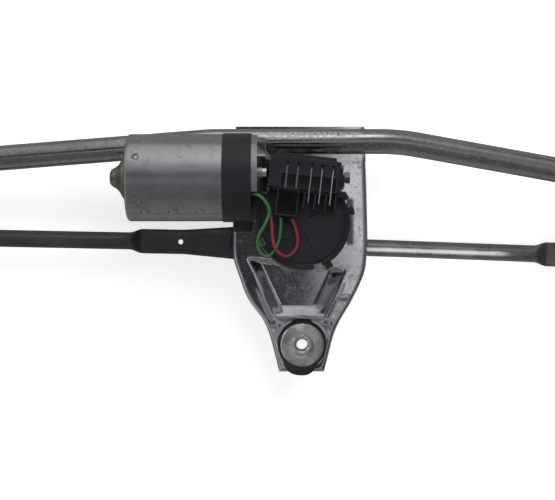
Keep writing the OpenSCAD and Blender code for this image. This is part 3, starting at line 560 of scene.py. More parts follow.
def bracket_relief(x, y):
    """Height of everything that is pressed into the flat of the bracket."""
    z = pocket_relief(x, y)
    for hump_x, hump_y, high in HUMPS:
        z += high * math.exp(-((x - hump_x) ** 2 + (y - hump_y) ** 2) / HUMP_R ** 2)
    if x > 24:
        z += 0.8 * math.exp(-((y - RIB_Y) / 1.5) ** 2) * smooth((x - 27) / 4)
    if RECESS_X[0] < x < RECESS_X[1]:
        fade = smooth((y - RECESS_Y[0]) / 1.5) * smooth((RECESS_Y[1] - y) / 3)
        z -= 0.022 * (RECESS_X[1] - x) * smooth((x - RECESS_X[0]) / 1.4) * fade
    z -= 0.3 * smooth((SEAT_R - math.hypot(x, y)) / 2.5)
    return z + 0.04 * wobble(x, y, 26, 5.5)


def bracket_rows():
    """Each row across the bracket: its y, its height, how far its side rims fold, how far its end drops."""
    saddle_r = tube_r + SADDLE_GAP
    limit = math.acos((tube_z - plate_top) / saddle_r)
    slight = 0.1
    rows = [(TUBE_END - back, plate_top, slight, 0) for back in (0, 1, 1.8)]
    for a in spread(limit, -limit, 0.1):
        rows.append((tube_y + saddle_r * math.sin(a), tube_z - saddle_r * math.cos(a), slight, 0))
    for y in spread(tube_y - saddle_r - 0.6, TAIL_END + RIM_R, 1.1):
        rows.append((y, plate_top, mix(slight, 1, smooth((150 - y) / 6)), 0))
    for a in spread(0.2, math.pi / 2, 0.26):
        rows.append((TAIL_END + RIM_R * (1 - math.sin(a)), plate_top, 1, RIM_R * (1 - math.cos(a))))
    return rows + [(TAIL_END, plate_top, 1, drop) for drop in (RIM_H * 0.8, RIM_H)]


def bracket_sheet():
    """The top of the bracket as rows of points, with its rims folded down."""
    folds = [(0, RIM_H), (0, (RIM_H + RIM_R) / 2)]
    for a in spread(math.pi / 2, 0, 0.26):
        folds.append((RIM_R * (1 - math.sin(a)), RIM_R * (1 - math.cos(a))))
    rows = []
    for y, z, fold, end_drop in bracket_rows():
        left, right = curve_at(LEFT_EDGE, y), curve_at(RIGHT_EDGE, y)
        flat = end_drop == 0 and z == plate_top
        across = [(left + inset, drop) for inset, drop in folds]
        across += [(mix(left + RIM_R, right - RIM_R, t), 0) for t in spread(0, 1, 1 / 84)[1:-1]]
        across += [(right - inset, drop) for inset, drop in reversed(folds)]
        row = []
        for x, side_drop in across:
            drop = side_drop * fold
            both = RIM_H * (1 - (1 - drop / RIM_H) * (1 - end_drop / RIM_H))
            edge = min(x - left, right - x)
            relief = bracket_relief(x, y) * smooth(edge / 4) if flat else 0
            row.append((x, y, z - both + relief))
        rows.append(row)
    return rows


def motor_bracket():
    obj = piece("motor_bracket", *grid(bracket_sheet()), sharp=60)
    if sum(p.normal.z for p in obj.data.polygons) < 0:
        obj.data.flip_normals()
    wall = obj.modifiers.new("wall", "SOLIDIFY")
    wall.thickness = plate_t * MM
    wall.offset = -1
    wall.use_even_offset = True
    apply_modifiers(obj)
    holes = [rod_shape(TAIL_HOLE_R, -20, 30, (0, 0, 0)), rod_shape(HUB_HOLE_R, -20, 30, output)]
    for deg in BOLT_DEG:
        a = math.radians(deg)
        at = output + Vector((BOLT_CIRCLE_R * math.cos(a), BOLT_CIRCLE_R * math.sin(a), 0))
        holes.append(rod_shape(BOLT_HOLE_R, -20, 30, at, sides=32))
    combine(obj, holes, "DIFFERENCE", 40)
    place_piece(obj, "pressed_bracket", "frame", "bright_zinc_steel", ["motor_bracket"])


# ---- motor ----

SEAM_DEG = -57.6  # where the rolled can closes, from straight up towards the tail
LOCK_X = (-119.3, -98.5, -77.7)  # round locks along the seam
LOCK_R = 3.2
DIMPLES = ((-125.5, 25, 0.9), (-125.5, -36, 0.8), (-125.5, 58, 0.9))  # x, degrees and depth
DIMPLE_R = 2.6
LIP_R = 2.4  # rounded closed end of the can
CAN_WALL = 2.5


def seam_distance(x, s):
    """Distance from the closing seam, whose locks stand out on one side. s runs round the can from it."""
    best = abs(s)
    for lock in LOCK_X:
        dx = abs(x - lock)
        if dx < LOCK_R * 0.62:
            best = 9
        centre = LOCK_R * 0.78
        off = abs(math.hypot(dx, s - centre) - LOCK_R)
        if s > -0.1 and dx < LOCK_R * 1.6:
            best = min(best, off)
    return best


def yoke_relief(x, deg):
    """Depth of the marks on the steel can: the closing seam, dimples and the stakes at the end."""
    s = math.radians(deg - SEAM_DEG) * yoke_r
    depth = 0
    if abs(s) < 8:
        depth += 0.8 * math.exp(-(seam_distance(x, s) / 0.34) ** 2)
    for dx, ddeg, deep in DIMPLES:
        d = math.hypot(x - dx, math.radians(deg - ddeg) * yoke_r)
        raised_edge = 0.12 * math.exp(-((d - DIMPLE_R - 0.3) / 0.5) ** 2)
        depth += deep * smooth(DIMPLE_R - d) - raised_edge
    return depth


def yoke_profile():
    """The wall of the can as a loop of (x, radius)."""
    length = yoke_high.x - yoke_low.x
    profile = [(yoke_low.x + LIP_R * (1 - math.cos(a)), yoke_r - LIP_R * (1 - math.sin(a)))
               for a in spread(0, math.pi / 2, 0.2)]
    profile += [(yoke_low.x + x, yoke_r) for x in spread(LIP_R, length, 0.4)[1:]]
    profile.append((yoke_high.x, yoke_r - CAN_WALL))
    return profile + [(yoke_low.x + x, yoke_r - CAN_WALL) for x in spread(length, 1.5, 8)[1:]]


def yoke():
    """The rolled can, with its points closer together round the seam and the dimples."""
    profile = yoke_profile()
    angles = spread(-180, SEAM_DEG - 8, 3) + spread(SEAM_DEG - 8, SEAM_DEG + 14, 0.45)[1:]
    angles += spread(SEAM_DEG + 14, 22, 2)[1:] + spread(22, 32, 0.8)[1:] + spread(32, 180, 3)[1:-1]
    rows = []
    for deg in angles:
        a = math.radians(deg)
        row = []
        for x, r in profile:
            if r > yoke_r - 0.01:
                r -= yoke_relief(x, deg)
            row.append((x, motor_axis.y + r * math.sin(a), motor_axis.z + r * math.cos(a)))
        rows.append(row)
    obj = piece("yoke", *grid(rows, True, True), sharp=50)
    place_piece(obj, "motor_can", "frame", "galvanised_steel", ["yoke"], yoke_finish)


def yoke_end_cap():
    """A drawn steel cap: a flat flange inside the can, a step, and the bell that holds the bearing."""
    edge = yoke_low.x
    outside = [(30.6, 1.2), (30.2, 0.4), (28.6, -0.1), (24, -0.2), (22.5, 0.5), (17.5, 0.5), (16.3, -0.1),
               (16, -3.4), (15.2, -4.3), (12.6, -5.4), (10.4, -7), (8.6, -8.9), (7.4, -11), (6.2, -12.8),
               (4.2, -13.9), (0, -14)]
    inside = [(0, -12), (4.9, -11.5), (6.5, -8), (9, -5), (13.5, -2), (14.5, 2.4), (30.6, 2.4)]
    loop = [(r, edge + x) for r, x in rounded([(r, x, 0.5) for r, x in outside + inside], 3)]

    def dents(a, r, h):
        if r < 2 or h > edge - 0.5:
            return 0
        return 0.28 * wobble(math.cos(a) * 9, math.sin(a) * 9 + h, 5, 4.4)

    obj = lathe("cap", loop, (0, motor_axis.y, motor_axis.z), "X", 120, dents, 40)
    place_piece(obj, "bearing_cap", "frame", "galvanised_steel", ["yoke_end_cap"], cap_finish)


COVER_R = 35.8
LEDGE = 10.5  # how far a ledge of the band reaches over the gear case
LEDGE_Y = (-33, -13)  # where it lies, from the motor axis


def motor_band():
    """The black band round the can and the gear case, with a foot on the bracket and a ledge by the cover."""
    low, high = box_mm("motor_band")
    on_axis = (0, motor_axis.y, motor_axis.z)
    left, right = yoke_high.x, high.x - LEDGE
    bore, outer, lip = yoke_r - 3.5, yoke_r + 0.7, yoke_r - 0.45
    loop = rounded([(bore, left, 0), (outer, left, 0.7), (outer, right, 0.7), (lip, right, 0.2),
                    (lip, right - 3.4, 0), (bore, right - 3.4, 0)])
    obj = lathe("band", loop, on_axis, "X", 128)
    foot = block((low.x + 7.5, right - 0.6), (low.y, motor_axis.y - yoke_r + 3), (low.z, low.z + 34),
                 round_by=1.2)
    inner = rod_shape(bore, left - 1, right - 3.4, on_axis, "X", 128)
    flange = rod_shape(lip, right - 3.5, right + 2, on_axis, "X", 128)
    combine(foot, [inner, flange], "DIFFERENCE")
    combine(obj, [foot], "UNION")
    wall = lathe("wall", [(21, right - 11.5), (yoke_r - 3.6, right - 11.5), (yoke_r - 3.6, right - 5.5),
                          (21, right - 5.5)], on_axis, "X", 96)
    ledge_z = cover_low.z + 5.05
    ledge = block((right - 1.5, high.x), [motor_axis.y + y for y in LEDGE_Y], (ledge_z, ledge_z + 4))
    beside_cover = rod_shape(COVER_R + 0.2, ledge_z - 5, ledge_z + 9, (output.x, output.y, 0), sides=128)
    combine(ledge, [beside_cover], "DIFFERENCE")
    combine(obj, [wall, ledge], "UNION")
    place_piece(obj, "motor_band_moulding", "frame", "black_plastic", ["motor_band"])


# ---- gear cover ----

LID_H = 8  # the lid with its skirt
SECTOR_R = 30.9  # outer edge of the raised sector
CATCH_DEG = (14, 33, 301)
HUB_FROM_OUTPUT = Vector((-14, -6, 0))
PLUG_AT = (0.75, 133.3)
PLUG_DEG = -6.4
PLUG_H = 15
STRIP_X = (-13.3, -5.2, 5, 13, 21.2)


def cover_shell(low, top):
    """The round lid: a rim ridge, a groove inside it and a thin skirt."""
    ridge = top + 0.8
    inner = COVER_R - 1.25
    loop = rounded([
        (0, top, 0), (30.6, top, 0.3), (31, top - 0.5, 0.3), (32, top - 0.5, 0.3), (32.4, top, 0.3),
        (33.4, top, 0.3), (33.8, ridge, 0.3), (34.9, ridge, 0.4), (COVER_R, ridge - 1, 0.6),
        (COVER_R, low, 0.2), (inner, low, 0), (inner, top - 3, 0), (0, top - 3, 0)])
    return lathe("cover", loop, output, "Z", 160)


def raised_sector():
    """Outline of the raised part of the lid: three straight sides, then an arc along the rim."""
    corners = [(-2, -1.4), (4.1, 3.7), (12.7, 8.3), (29.5, 9.6)]
    for deg in spread(16, -70, 3):
        a = math.radians(deg)
        corners.append((SECTOR_R * math.cos(a), SECTOR_R * math.sin(a)))
    return corners


def cover_parts(low, top, sector):
    """What stands on the lid: the sector, the catches for the clips and the hub."""
    parts = [prism(sector, top - 0.5, top + 1.5, output, 0.5)]
    for deg in CATCH_DEG:
        parts.append(block((34.5, 39.8), (-3, 3), (low, low + 7.6), output, deg))
    hub = rounded([(0, top - 0.5, 0), (7, top - 0.5, 0), (6.6, top + 0.9, 0.5), (0, top + 0.9, 0)])
    parts.append(lathe("hub", hub, output + HUB_FROM_OUTPUT, "Z", 48))
    return parts


def plug_parts(on_plug):
    """The plug block with its steps, the chute for the wires, its latches and ribs."""
    parts = [
        on_plug((-27, 27), (-13, 11), (-0.4, PLUG_H), 0.8),
        on_plug((-23, 23), (-15, 13.5), (-0.4, PLUG_H - 3), 0.8),
        on_plug((-19, -2), (-34, -12), (-0.4, PLUG_H - 1), 1.0),
        on_plug((-27.4, -25.4), (-9, 7), (2, PLUG_H - 4)),
        on_plug((25, 30.2), (-7.5, 2), (-0.4, 9.5), 0.8),
        on_plug((24, 31.8), (-15.5, -10.5), (-0.4, 7), 0.8),
        on_plug((22, 28.6), (-4, 6.5), (3, 12)),
    ]
    for x in (1, 9, 17, 24.5):
        parts.append(on_plug((x, x + 1.8), (-27, -12), (-0.4, PLUG_H - 3), 0.4))
    for x in STRIP_X:
        parts.append(on_plug((x - 1.8, x + 1.8), (3.6, 8.6), (PLUG_H - 1, PLUG_H + 0.7), 0.3))
    return parts


def plug_cuts(on_plug):
    """Recesses of the plug block, and a slot and a square hole for each terminal strip."""
    above = PLUG_H + 4
    cuts = [
        on_plug((-17, 24), (-12, -2), (PLUG_H - 7, PLUG_H + 5), 0.4),
        on_plug((23.5, 34), (7.5, 18), (PLUG_H - 6, PLUG_H + 5), 0.4),
        on_plug((-17.5, -3.5), (-32.5, -14.2), (PLUG_H - 1.6, PLUG_H + 1), 0.4),
    ]
    for i, x in enumerate(STRIP_X):
        start = -13.3 if i < 2 else -22.6
        cuts.append(on_plug((x - 0.7, x + 0.7), (start, 4.7), (PLUG_H - 3.2, above), 0))
        cuts.append(on_plug((x - 0.9, x + 0.9), (5.6, 7.4), (PLUG_H - 3, above), 0))
    return cuts


def sector_grooves(top, sector):
    """Narrow grooves along the straight sides of the raised sector."""
    grooves = []
    for start, end in ((sector[0], sector[-1]), *zip(sector[:3], sector[1:4])):
        run = Vector(end) - Vector(start)
        at = output + Vector((*start, 0))
        deg = math.degrees(math.atan2(run.y, run.x))
        grooves.append(block((-0.3, run.length), (-0.45, 0.45), (top + 0.3, top + 3), at, deg, 0))
    return grooves


def gear_cover():
    low = cover_low.z
    top = low + LID_H
    plug_at = Vector((*PLUG_AT, top))

    def on_plug(x, y, z, round_by=0.5):
        return block(x, y, z, plug_at, PLUG_DEG, round_by)

    sector = raised_sector()
    obj = cover_shell(low, top)
    combine(obj, cover_parts(low, top, sector) + plug_parts(on_plug), "UNION")
    combine(obj, plug_cuts(on_plug) + sector_grooves(top, sector), "DIFFERENCE")
    place_piece(obj, "gear_cover_moulding", "frame", "black_plastic", ["gear_cover"])


# ---- rubber and sleeves ----

LOBE_DEG = 264  # where the tail's rubber bulges out, past the end of the bracket
SLEEVE_R = 6.4
BOLT_R = 4.5  # bore of every sleeve


def grommet(name, at, r, neck_r, bore_r, low, high, sheet, lobe, stands_for):
    """A rubber ring that clamps a sheet between the two heights in sheet. lobe: how far its top bulges."""
    loop = rounded([
        (bore_r, low, 0), (r - 1.6, low, 0.8), (r, low + 2, 1), (r, sheet[0], 0.6), (neck_r, sheet[0], 0),
        (neck_r, sheet[1], 0), (r, sheet[1], 0.6), (r, high - 1.6, 1.2), (r - 2.4, high, 0.8),
        (bore_r, high, 0)])

    def bulge(a, radius, h):
        if not lobe or h < sheet[1] - 0.1 or radius < neck_r + 0.1:
            return 0
        off = (a - math.radians(LOBE_DEG) + math.pi) % TAU - math.pi
        wide = math.exp(-(off / 0.62) ** 4)
        return lobe * wide + 0.12 * wobble(math.cos(a) * 20, math.sin(a) * 20, 6, 1.1)

    obj = lathe(name, loop, at, "Z", 128, bulge, 50)
    place_piece(obj, name, "frame", "black_rubber", stands_for)


def sleeve(name, at, flange_r, low, high, stands_for):
    """A turned sleeve: high is the underside of its flange."""
    loop = rounded([
        (BOLT_R, low, 0.3), (SLEEVE_R, low, 0.3), (SLEEVE_R, high, 0), (flange_r, high, 0.3),
        (flange_r, high + 0.7, 0.4), (flange_r - 1, high + 1.25, 0.6), (10.6, high + 2.2, 1.0),
        (8.6, high + 1.8, 0.6), (7.8, high + 2.7, 0.5), (6.0, high + 2.8, 0.5), (BOLT_R, high + 1.9, 0.4)], 5)
    obj = lathe(name, loop, at, "Z", 128, None, 40)
    place_piece(obj, name, "frame", "turned_steel", stands_for)


def mounts():
    """The rubber and the flanged sleeve of the tail, and of the ear beside each spindle."""
    tail = mount_at("tail_mount")
    bore_r = SLEEVE_R + 0.05
    sheet = (plate_top - plate_t - 0.05, plate_top + 0.05)
    grommet("tail_rubber", tail, 19.5, TAIL_HOLE_R - 0.05, bore_r, 0.5, 14.9, sheet, 5.2, ["tail_grommet"])
    sleeve("tail_bush", tail, 17.3, 0, 15, ["tail_sleeve"])
    for side in ("left", "right"):
        at = mount_at(side + "_mount")
        base = Vector((at.x, at.y, 0))
        grommet(side + "_rubber", base, 13.5, 10.95, bore_r, 3.5, 17.9, (7.95, 13.05), 0, ["side_grommets"])
        sleeve(side + "_bush", base, 12, 3, 18, ["side_sleeves"])


# ---- rods ----

EYE_R = 14
FLAT_W = 10  # half widths and half thicknesses of a rod
FLAT_T = 2
ROUND_R = 7
FLAT_END = 84
ROUND_START = 95
ROD_SIDES = 48
ROD_BALLS_DEG = {"left": (330, 178.87), "right": (333.7, -2.1)}  # between the balls, and the way it points
SOCKET_NECK_R = 11.5
PEG_HOLE = (53, 2)  # distance from the crank's ball, and radius
DRAIN_HOLE = (103, 1.5)


def rod_section(d):
    """Half width, half thickness and squareness of a rod, d from the centre of its nearer ball."""
    if d < 0:
        return math.sqrt(max(EYE_R ** 2 - d * d, 0.3)), FLAT_T, 7
    width = mix(EYE_R, FLAT_W, min(1, d / 50))
    t = smooth((d - FLAT_END) / (ROUND_START - FLAT_END))
    return mix(width, ROUND_R, t), mix(FLAT_T, ROUND_R, t), mix(7, 2, math.sqrt(t))


def power(value, exponent):
    return math.copysign(abs(value) ** exponent, value)


def rod_ring(x, d):
    """Points round a rod at x, which is d from the nearer ball. Its flats are pressed in along the middle."""
    half_w, half_t, square = rod_section(d)
    pressed = smooth((d - 14) / 6) * smooth((FLAT_END + 8 - d) / 8)
    row = []
    for i in range(ROD_SIDES):
        a = TAU * i / ROD_SIDES
        y = half_w * power(math.cos(a), 2 / square)
        h = half_t * power(math.sin(a), 2 / square)
        dip = 0.6 * pressed * smooth((half_w - 2.2 - abs(y)) / 1.6)
        h -= math.copysign(dip, h) if abs(h) > 0.8 else 0
        row.append((x, y, h + 0.04 * wobble(x, y, 9, 8.8)))
    return row


def rod_stations(length):
    """Places along a rod as (x, distance from the nearer ball), closer together where its shape changes."""
    half = spread(-EYE_R, -EYE_R + 3, 0.5) + spread(-EYE_R + 3, 0, 1)[1:] + spread(0, FLAT_END, 4)[1:]
    half += spread(FLAT_END, ROUND_START, 0.7)[1:] + spread(ROUND_START, length / 2, 7)[1:]
    return [(x, x) for x in half] + [(length - x, x) for x in half[-2::-1]]


def push_rod(side, slot, material):
    """A rod from the crank's ball to a lever's: flat with a round eye at each end, round between."""
    low, high = box_mm(side + "_rod")
    pin = joint_at("left_rod_pivot")
    length, deg = ROD_BALLS_DEG[side]
    points, faces = grid([rod_ring(x, d) for x, d in rod_stations(length)], False, True)
    count = len(points)
    faces += [tuple(range(ROD_SIDES)), tuple(range(count - ROD_SIDES, count))]
    obj = piece("rod", points, faces, (pin.x, pin.y, (low.z + high.z) / 2), 40)
    holes = [rod_shape(SOCKET_NECK_R, -9, 9, (0, 0, 0)),
             rod_shape(SOCKET_NECK_R, -9, 9, (length, 0, 0)),
             rod_shape(PEG_HOLE[1], -9, 9, (PEG_HOLE[0], 0, 0), sides=32),
             rod_shape(DRAIN_HOLE[1], -12, 0, (DRAIN_HOLE[0], 0, 0), sides=24)]
    for hole in holes:
        hole.location += obj.location
    combine(obj, holes, "DIFFERENCE", 40)
    obj.rotation_euler.z = math.radians(deg)
    place_piece(obj, side + "_push_rod", side + "_drive_rod", slot, [side + "_rod"], material)


# ---- spindles ----

SEAT_BOTTOM_R = 6  # cone that the wiper arm sits on
SEAT_TOP_R = 5
SEAT_H = 9
THREAD_R = 4
THREAD_PITCH = 1.25
SPLINES = 40


def spindle_loop(low, top, cone, clip):
    """Radius and height round half of a spindle: its riveted foot, shaft, clip groove, cone and thread."""
    corners = [(0, low, 0), (7, low, 0.4), (7, low + 1.5, 0.3), (5, low + 1.5, 0), (5, low + 6.5, 0),
               (6, low + 6.5, 0.2), (6, clip - 0.05, 0.1), (5.2, clip - 0.05, 0), (5.2, clip + 1.25, 0),
               (6, clip + 1.25, 0.1), (6, cone, 0.1)]
    loop = [tuple(p) for p in rounded(corners, 3)]
    loop += [(mix(SEAT_BOTTOM_R, SEAT_TOP_R, t), cone + SEAT_H * t) for t in spread(0.03, 0.97, 0.09)]
    loop += [(THREAD_R + 0.6, cone + SEAT_H), (THREAD_R, cone + SEAT_H + 0.4)]
    loop += [(THREAD_R, z) for z in spread(cone + SEAT_H + 0.6, top - 1, 0.22)]
    return loop + [(THREAD_R - 0.8, top), (0, top)]


def spindle(side):
    low, high = box_mm(side + "_spindle")
    at = (low + high) / 2
    top = high.z
    cone = top - 24
    clip = box_mm(side + "_spindle_clip")[0].z

    def cut(a, r, h):
        if r > THREAD_R - 0.1 and cone + SEAT_H + 0.6 <= h <= top - 0.9:
            turn = ((h - cone) / THREAD_PITCH - a / TAU) % 1
            return -0.75 * abs(2 * turn - 1)
        if r > SEAT_TOP_R - 0.1 and cone + 0.2 < h < cone + SEAT_H - 0.2:
            return -0.35 * abs(2 * ((a / TAU * SPLINES) % 1) - 1)
        return 0

    obj = lathe("spindle", spindle_loop(low.z, top, cone, clip), (at.x, at.y, 0), "Z", 160, cut, 50)
    place_piece(obj, side + "_wiper_spindle", side + "_wiper_shaft", "polished_steel", [side + "_spindle"])


# ---- wires ----

WIRE_R = 1.2
WIRE_SIDES = 16
WIRE_OVER_COVER = 4
# Each wire from the band to the plug block: x, y and height over its lowest level
WIRES = {
    "green": [(-40.5, 117.2, 8), (-36, 117.4, 9.2), (-30, 113.6, 9.4), (-25.6, 105.4, 8), (-28.2, 96.4, 6),
              (-33.5, 86.7, 4.5), (-34.6, 79.2, 3), (-31.2, 72.4, 1.5), (-26.7, 70.9, 1), (-22.2, 74.6, 1),
              (-18.5, 82.9, 1), (-17, 94.2, 2.5), (-17.2, 100.4, 4)],
    "red": [(-40.5, 117, 4.5), (-36, 117.2, 5.6), (-30, 113.4, 5.8), (-25.6, 105.2, 4.8), (-24.2, 98, 4.2),
            (-23.7, 91.9, 4.4), (-23, 82.9, 5), (-20.7, 76.2, 5), (-14.7, 70.9, 2.5), (-9.5, 72, 1),
            (-5, 77.7, 1), (-4.4, 85.2, 1), (-6.7, 94.2, 2.5), (-8.6, 99.4, 4)],
}


def through(points, steps=6):
    """A smooth line through the points."""
    line = []
    for i in range(len(points) - 1):
        a, b, c, d = (Vector(points[min(max(i + k, 0), len(points) - 1)]) for k in (-1, 0, 1, 2))
        for k in range(steps):
            t = k / steps
            line.append(b + (c - a) * t / 2 + (a - b * 2.5 + c * 2 - d / 2) * t ** 2
                        + (b * 1.5 - c * 1.5 + (d - a) / 2) * t ** 3)
    return line + [Vector(points[-1])]


def hose(line, r, sides):
    """Rings of points round a line."""
    rows = []
    side = Vector((0, 0, 1))
    for i, at in enumerate(line):
        along = (line[min(i + 1, len(line) - 1)] - line[max(i - 1, 0)]).normalized()
        side = (side - along * side.dot(along)).normalized()
        other = along.cross(side)
        turns = [TAU * k / sides for k in range(sides)]
        rows.append([at + (side * math.cos(a) + other * math.sin(a)) * r for a in turns])
    return rows


def wires():
    level = cover_high.z - PLUG_H + WIRE_OVER_COVER
    for name, places in WIRES.items():
        line = through([(x, y, level + z) for x, y, z in places])
        points, faces = grid(hose(line, WIRE_R, WIRE_SIDES), False, True)
        faces += [tuple(range(WIRE_SIDES)), tuple(range(len(points) - WIRE_SIDES, len(points)))]
        obj = piece(name, points, faces, sharp=60)
        place_piece(obj, name + "_lead", "frame", name + "_insulation", [name + "_wire"])


# ---- CAD nodes that stay ----

# How far the edges of a node are softened, by its slot, and the nodes whose fine teeth or wire leave no room
EDGE = {"cast_aluminium": 0.6, "black_plastic": 0.35, "nylon": 0.2, "ferrite": 0.4, "copper": 0.15}
NO_BEVEL = ("armature_shaft", "brush_springs", "worm_wheel")
# Screws that look darker than the bright zinc of their slot. On the thrust screw this darker finish is painted
# shade, for the shadow it lies in.
DARKENED_SCREWS = {"thrust_screw": finishes["spring_steel"], "motor_mount_bolts": finishes["spring_steel"]}


def dress_cad_nodes():
    """Every CAD node gets its finish, and most get softened edges."""
    for name, obj in nodes.items():
        slot = obj.data.materials[0].name
        obj.material_slots[0].link = "OBJECT"
        # The darkened thrust screw is painted shade.
        obj.material_slots[0].material = DARKENED_SCREWS.get(name) or finishes[slot.split(".")[0]]
        weld = obj.modifiers.new("weld", "WELD")
        weld.merge_threshold = 0.01 * MM
        if name not in NO_BEVEL:
            bevel(obj, EDGE.get(slot, 0.25), 2, 40)
        step = obj.modifiers.new("shading", "WEIGHTED_NORMAL")
        step.keep_sharp = True


# ---- room, light and camera ----

CAMERA_AT = Vector((-19.6, 75.4, 1009))
PLATE_VIEW = 444  # width of the picture at the height of the bracket
SENSOR = 36
FLOOR_SIZE = 6000
FLOOR_MIRRORED = 0.36  # how pale the floor is for light and reflections, which is darker than it looks
FLOOR_GLOW = 0.62


def room():
    """A plain floor just under the object. To the camera it is paler than to the metal that mirrors it."""
    z = cad_box[0].z / MM - 1
    corners = [(-1, -1), (1, -1), (1, 1), (-1, 1)]
    floor = piece("floor", [(x * FLOOR_SIZE, y * FLOOR_SIZE, z) for x, y in corners], [(0, 1, 2, 3)])
    material = bpy.data.materials.new("floor")
    material.use_nodes = True
    tree = material.node_tree
    shader = tree.nodes["Principled BSDF"]
    fine = node(tree, "TexNoise", {"Vector": coords_mm(tree), "Scale": 0.02, "Detail": 5.0})
    pale = blend_colour(tree, fine, colour(0.9, 0.9, 0.9), colour(0.93, 0.93, 0.93))
    dark = colour(FLOOR_MIRRORED, FLOOR_MIRRORED, FLOOR_MIRRORED)
    seen = node(tree, "LightPath", out="Is Camera Ray")
    tree.links.new(blend_colour(tree, seen, dark, pale), shader.inputs["Base Color"])
    tree.links.new(blend_colour(tree, seen, colour(0, 0, 0), pale), shader.inputs["Emission Color"])
    shader.inputs["Emission Strength"].default_value = FLOOR_GLOW
    shader.inputs["Roughness"].default_value = 0.9
    floor.data.materials.append(material)


def area_light(name, at, aim, size, watts, mirrored=False):
    """A rectangular lamp that the camera never sees, and that metal mirrors only if mirrored."""
    data = bpy.data.lights.new(name, "AREA")
    data.shape = "RECTANGLE"
    data.size, data.size_y = size
    data.energy = watts
    obj = bpy.data.objects.new(name, data)
    obj.location = at
    obj.rotation_euler = (Vector(aim) - Vector(at)).to_track_quat("-Z", "Y").to_euler()
    obj.visible_glossy = mirrored
    obj.visible_camera = False
    bpy.context.scene.collection.objects.link(obj)


# How bright the room is, as (degrees from overhead towards the tube, level). The first is for what the left
# and the middle mirror, the second for the right.
LIGHT_LEFT = [(-180, 0.3), (-90, 0.3), (-56, 0.14), (-20, 0.2), (-9, 0.46), (-5.5, 0.46), (-4.2, 0.03),
              (8, 0.03), (13, 0.36), (22, 0.6), (30, 0.75), (48, 1.0), (64, 1.0), (90, 1.0), (180, 0.5)]
LIGHT_RIGHT = [(-180, 0.2), (-90, 0.16), (-52, 0.1), (-20, 0.12), (-7, 0.3), (-3, 0.85), (2, 1.25), (5, 1.3),
               (9, 0.1), (32, 0.3), (39, 2.6), (48, 4.6), (57, 3.0), (66, 0.5), (90, 0.3), (180, 0.3)]
RIGHT_FROM = (0.034, 0.066)  # how far to the right a way leans where the second takes over
# The same by how far a way leans to the right: a factor for all of the above, then light from the sides
SIDEWAYS = [(-1, 0.35), (-0.18, 0.35), (-0.12, 1), (0.075, 1), (0.1, 0.12), (0.13, 0.05), (1, 0.05)]
SIDE_WINDOWS = [(-1, 0), (-0.88, 0), (-0.84, 0.6), (-0.7, 0.6), (-0.6, 0.09), (-0.18, 0.09), (-0.13, 0),
                (0.09, 0), (0.12, 0.2), (0.2, 0.3), (0.3, 0.3), (0.4, 0.08), (1, 0.08)]
# The room is a little blue overhead and a little warm towards its walls
COOL = (0.97, 0.97, 1.04, 1)
WARM = (1.0, 1.0, 0.93, 1)
BACKDROP = 0.93  # what the camera itself sees beyond the floor
# A low card that faces down beside the bare rod: its middle, size and watts
ROD_CARD = ((111, 61.5, 6), (122, 33), 0.032)


def level_ramp(tree, value, stops):
    """A brightness that follows value through the stops."""
    low, high = stops[0][0], stops[-1][0]
    ramp = tree.nodes.new("ShaderNodeValToRGB")
    tree.links.new(remap(tree, value, low, high), ramp.inputs["Fac"])
    elements = ramp.color_ramp.elements
    while len(elements) < len(stops):
        elements.new(0.5)
    for element, (at, level) in zip(elements, stops):
        element.position = (at - low) / (high - low)
        element.color = colour(level, level, level)
    return ramp.outputs["Color"]


def combine_light(tree, operation, a, b):
    return node(tree, "VectorMath", {0: a, 1: b}, operation=operation)


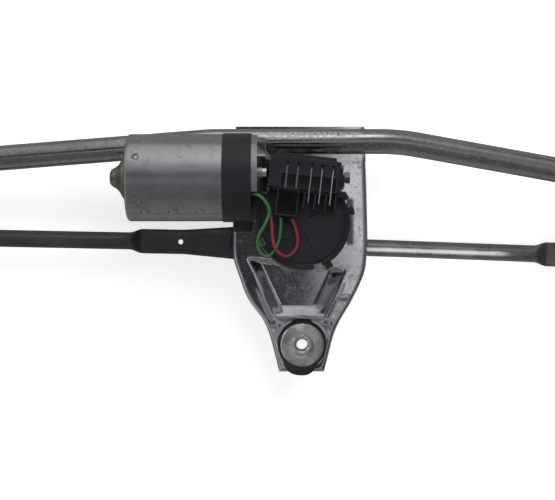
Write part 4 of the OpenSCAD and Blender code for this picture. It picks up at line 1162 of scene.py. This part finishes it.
def studio():
    """A pale room, dark straight above the left and the middle, so that bright metal shows its shape."""
    world = bpy.data.worlds.new("studio")
    world.use_nodes = True
    bpy.context.scene.world = world
    tree = world.node_tree
    background = tree.nodes["Background"]
    way = node(tree, "TexCoord", out="Generated")
    parts = node(tree, "SeparateXYZ", {"Vector": way})
    x, y, z = (parts.node.outputs[i] for i in range(3))
    lean = maths(tree, "MULTIPLY", maths(tree, "ARCTAN2", y, z), 360 / TAU)
    shown = blend_colour(tree, remap(tree, x, *RIGHT_FROM), level_ramp(tree, lean, LIGHT_LEFT),
                         level_ramp(tree, lean, LIGHT_RIGHT))
    shown = combine_light(tree, "MULTIPLY", shown, level_ramp(tree, x, SIDEWAYS))
    shown = combine_light(tree, "ADD", shown, level_ramp(tree, x, SIDE_WINDOWS))
    tint = blend_colour(tree, remap(tree, maths(tree, "ABSOLUTE", lean), 30, 75), COOL, WARM)
    shown = combine_light(tree, "MULTIPLY", shown, tint)
    seen = node(tree, "LightPath", out="Is Camera Ray")
    plain = colour(BACKDROP, BACKDROP, BACKDROP)
    tree.links.new(blend_colour(tree, seen, shown, plain), background.inputs["Color"])
    background.inputs["Strength"].default_value = 1.0
    area_light("key", (0.5, 1.1, 1.3), (0, 0.1, 0), (1.4, 1.0), 15)
    area_light("fill", (-0.7, -1.0, 1.2), (0, 0.1, 0), (1.4, 1.0), 8)
    at, size, watts = ROD_CARD
    at = Vector(at) * MM
    area_light("card", at, at - Vector((0, 0, 1)), [s * MM for s in size], watts, mirrored=True)


def camera():
    """Straight above the bracket, at the height that the photo's perspective asks for."""
    data = bpy.data.cameras.new("camera")
    data.sensor_width = SENSOR
    data.lens = SENSOR * (CAMERA_AT.z - plate_top + 1) / PLATE_VIEW
    obj = bpy.data.objects.new("camera", data)
    obj.location = CAMERA_AT * MM
    bpy.context.scene.collection.objects.link(obj)
    bpy.context.scene.camera = obj
    view = bpy.context.scene.view_settings
    view.view_transform = "Standard"
    view.look = "None"
    view.exposure = 0.0


dress_cad_nodes()
frame_tube()
motor_bracket()
yoke()
yoke_end_cap()
motor_band()
gear_cover()
mounts()
# The left rod's near-black finish is painted shade, for the dark room it mirrors.
push_rod("left", "black_painted_steel", None)
push_rod("right", "bright_zinc_steel", rod_finish)
spindle("left")
spindle("right")
wires()
room()
studio()
camera()
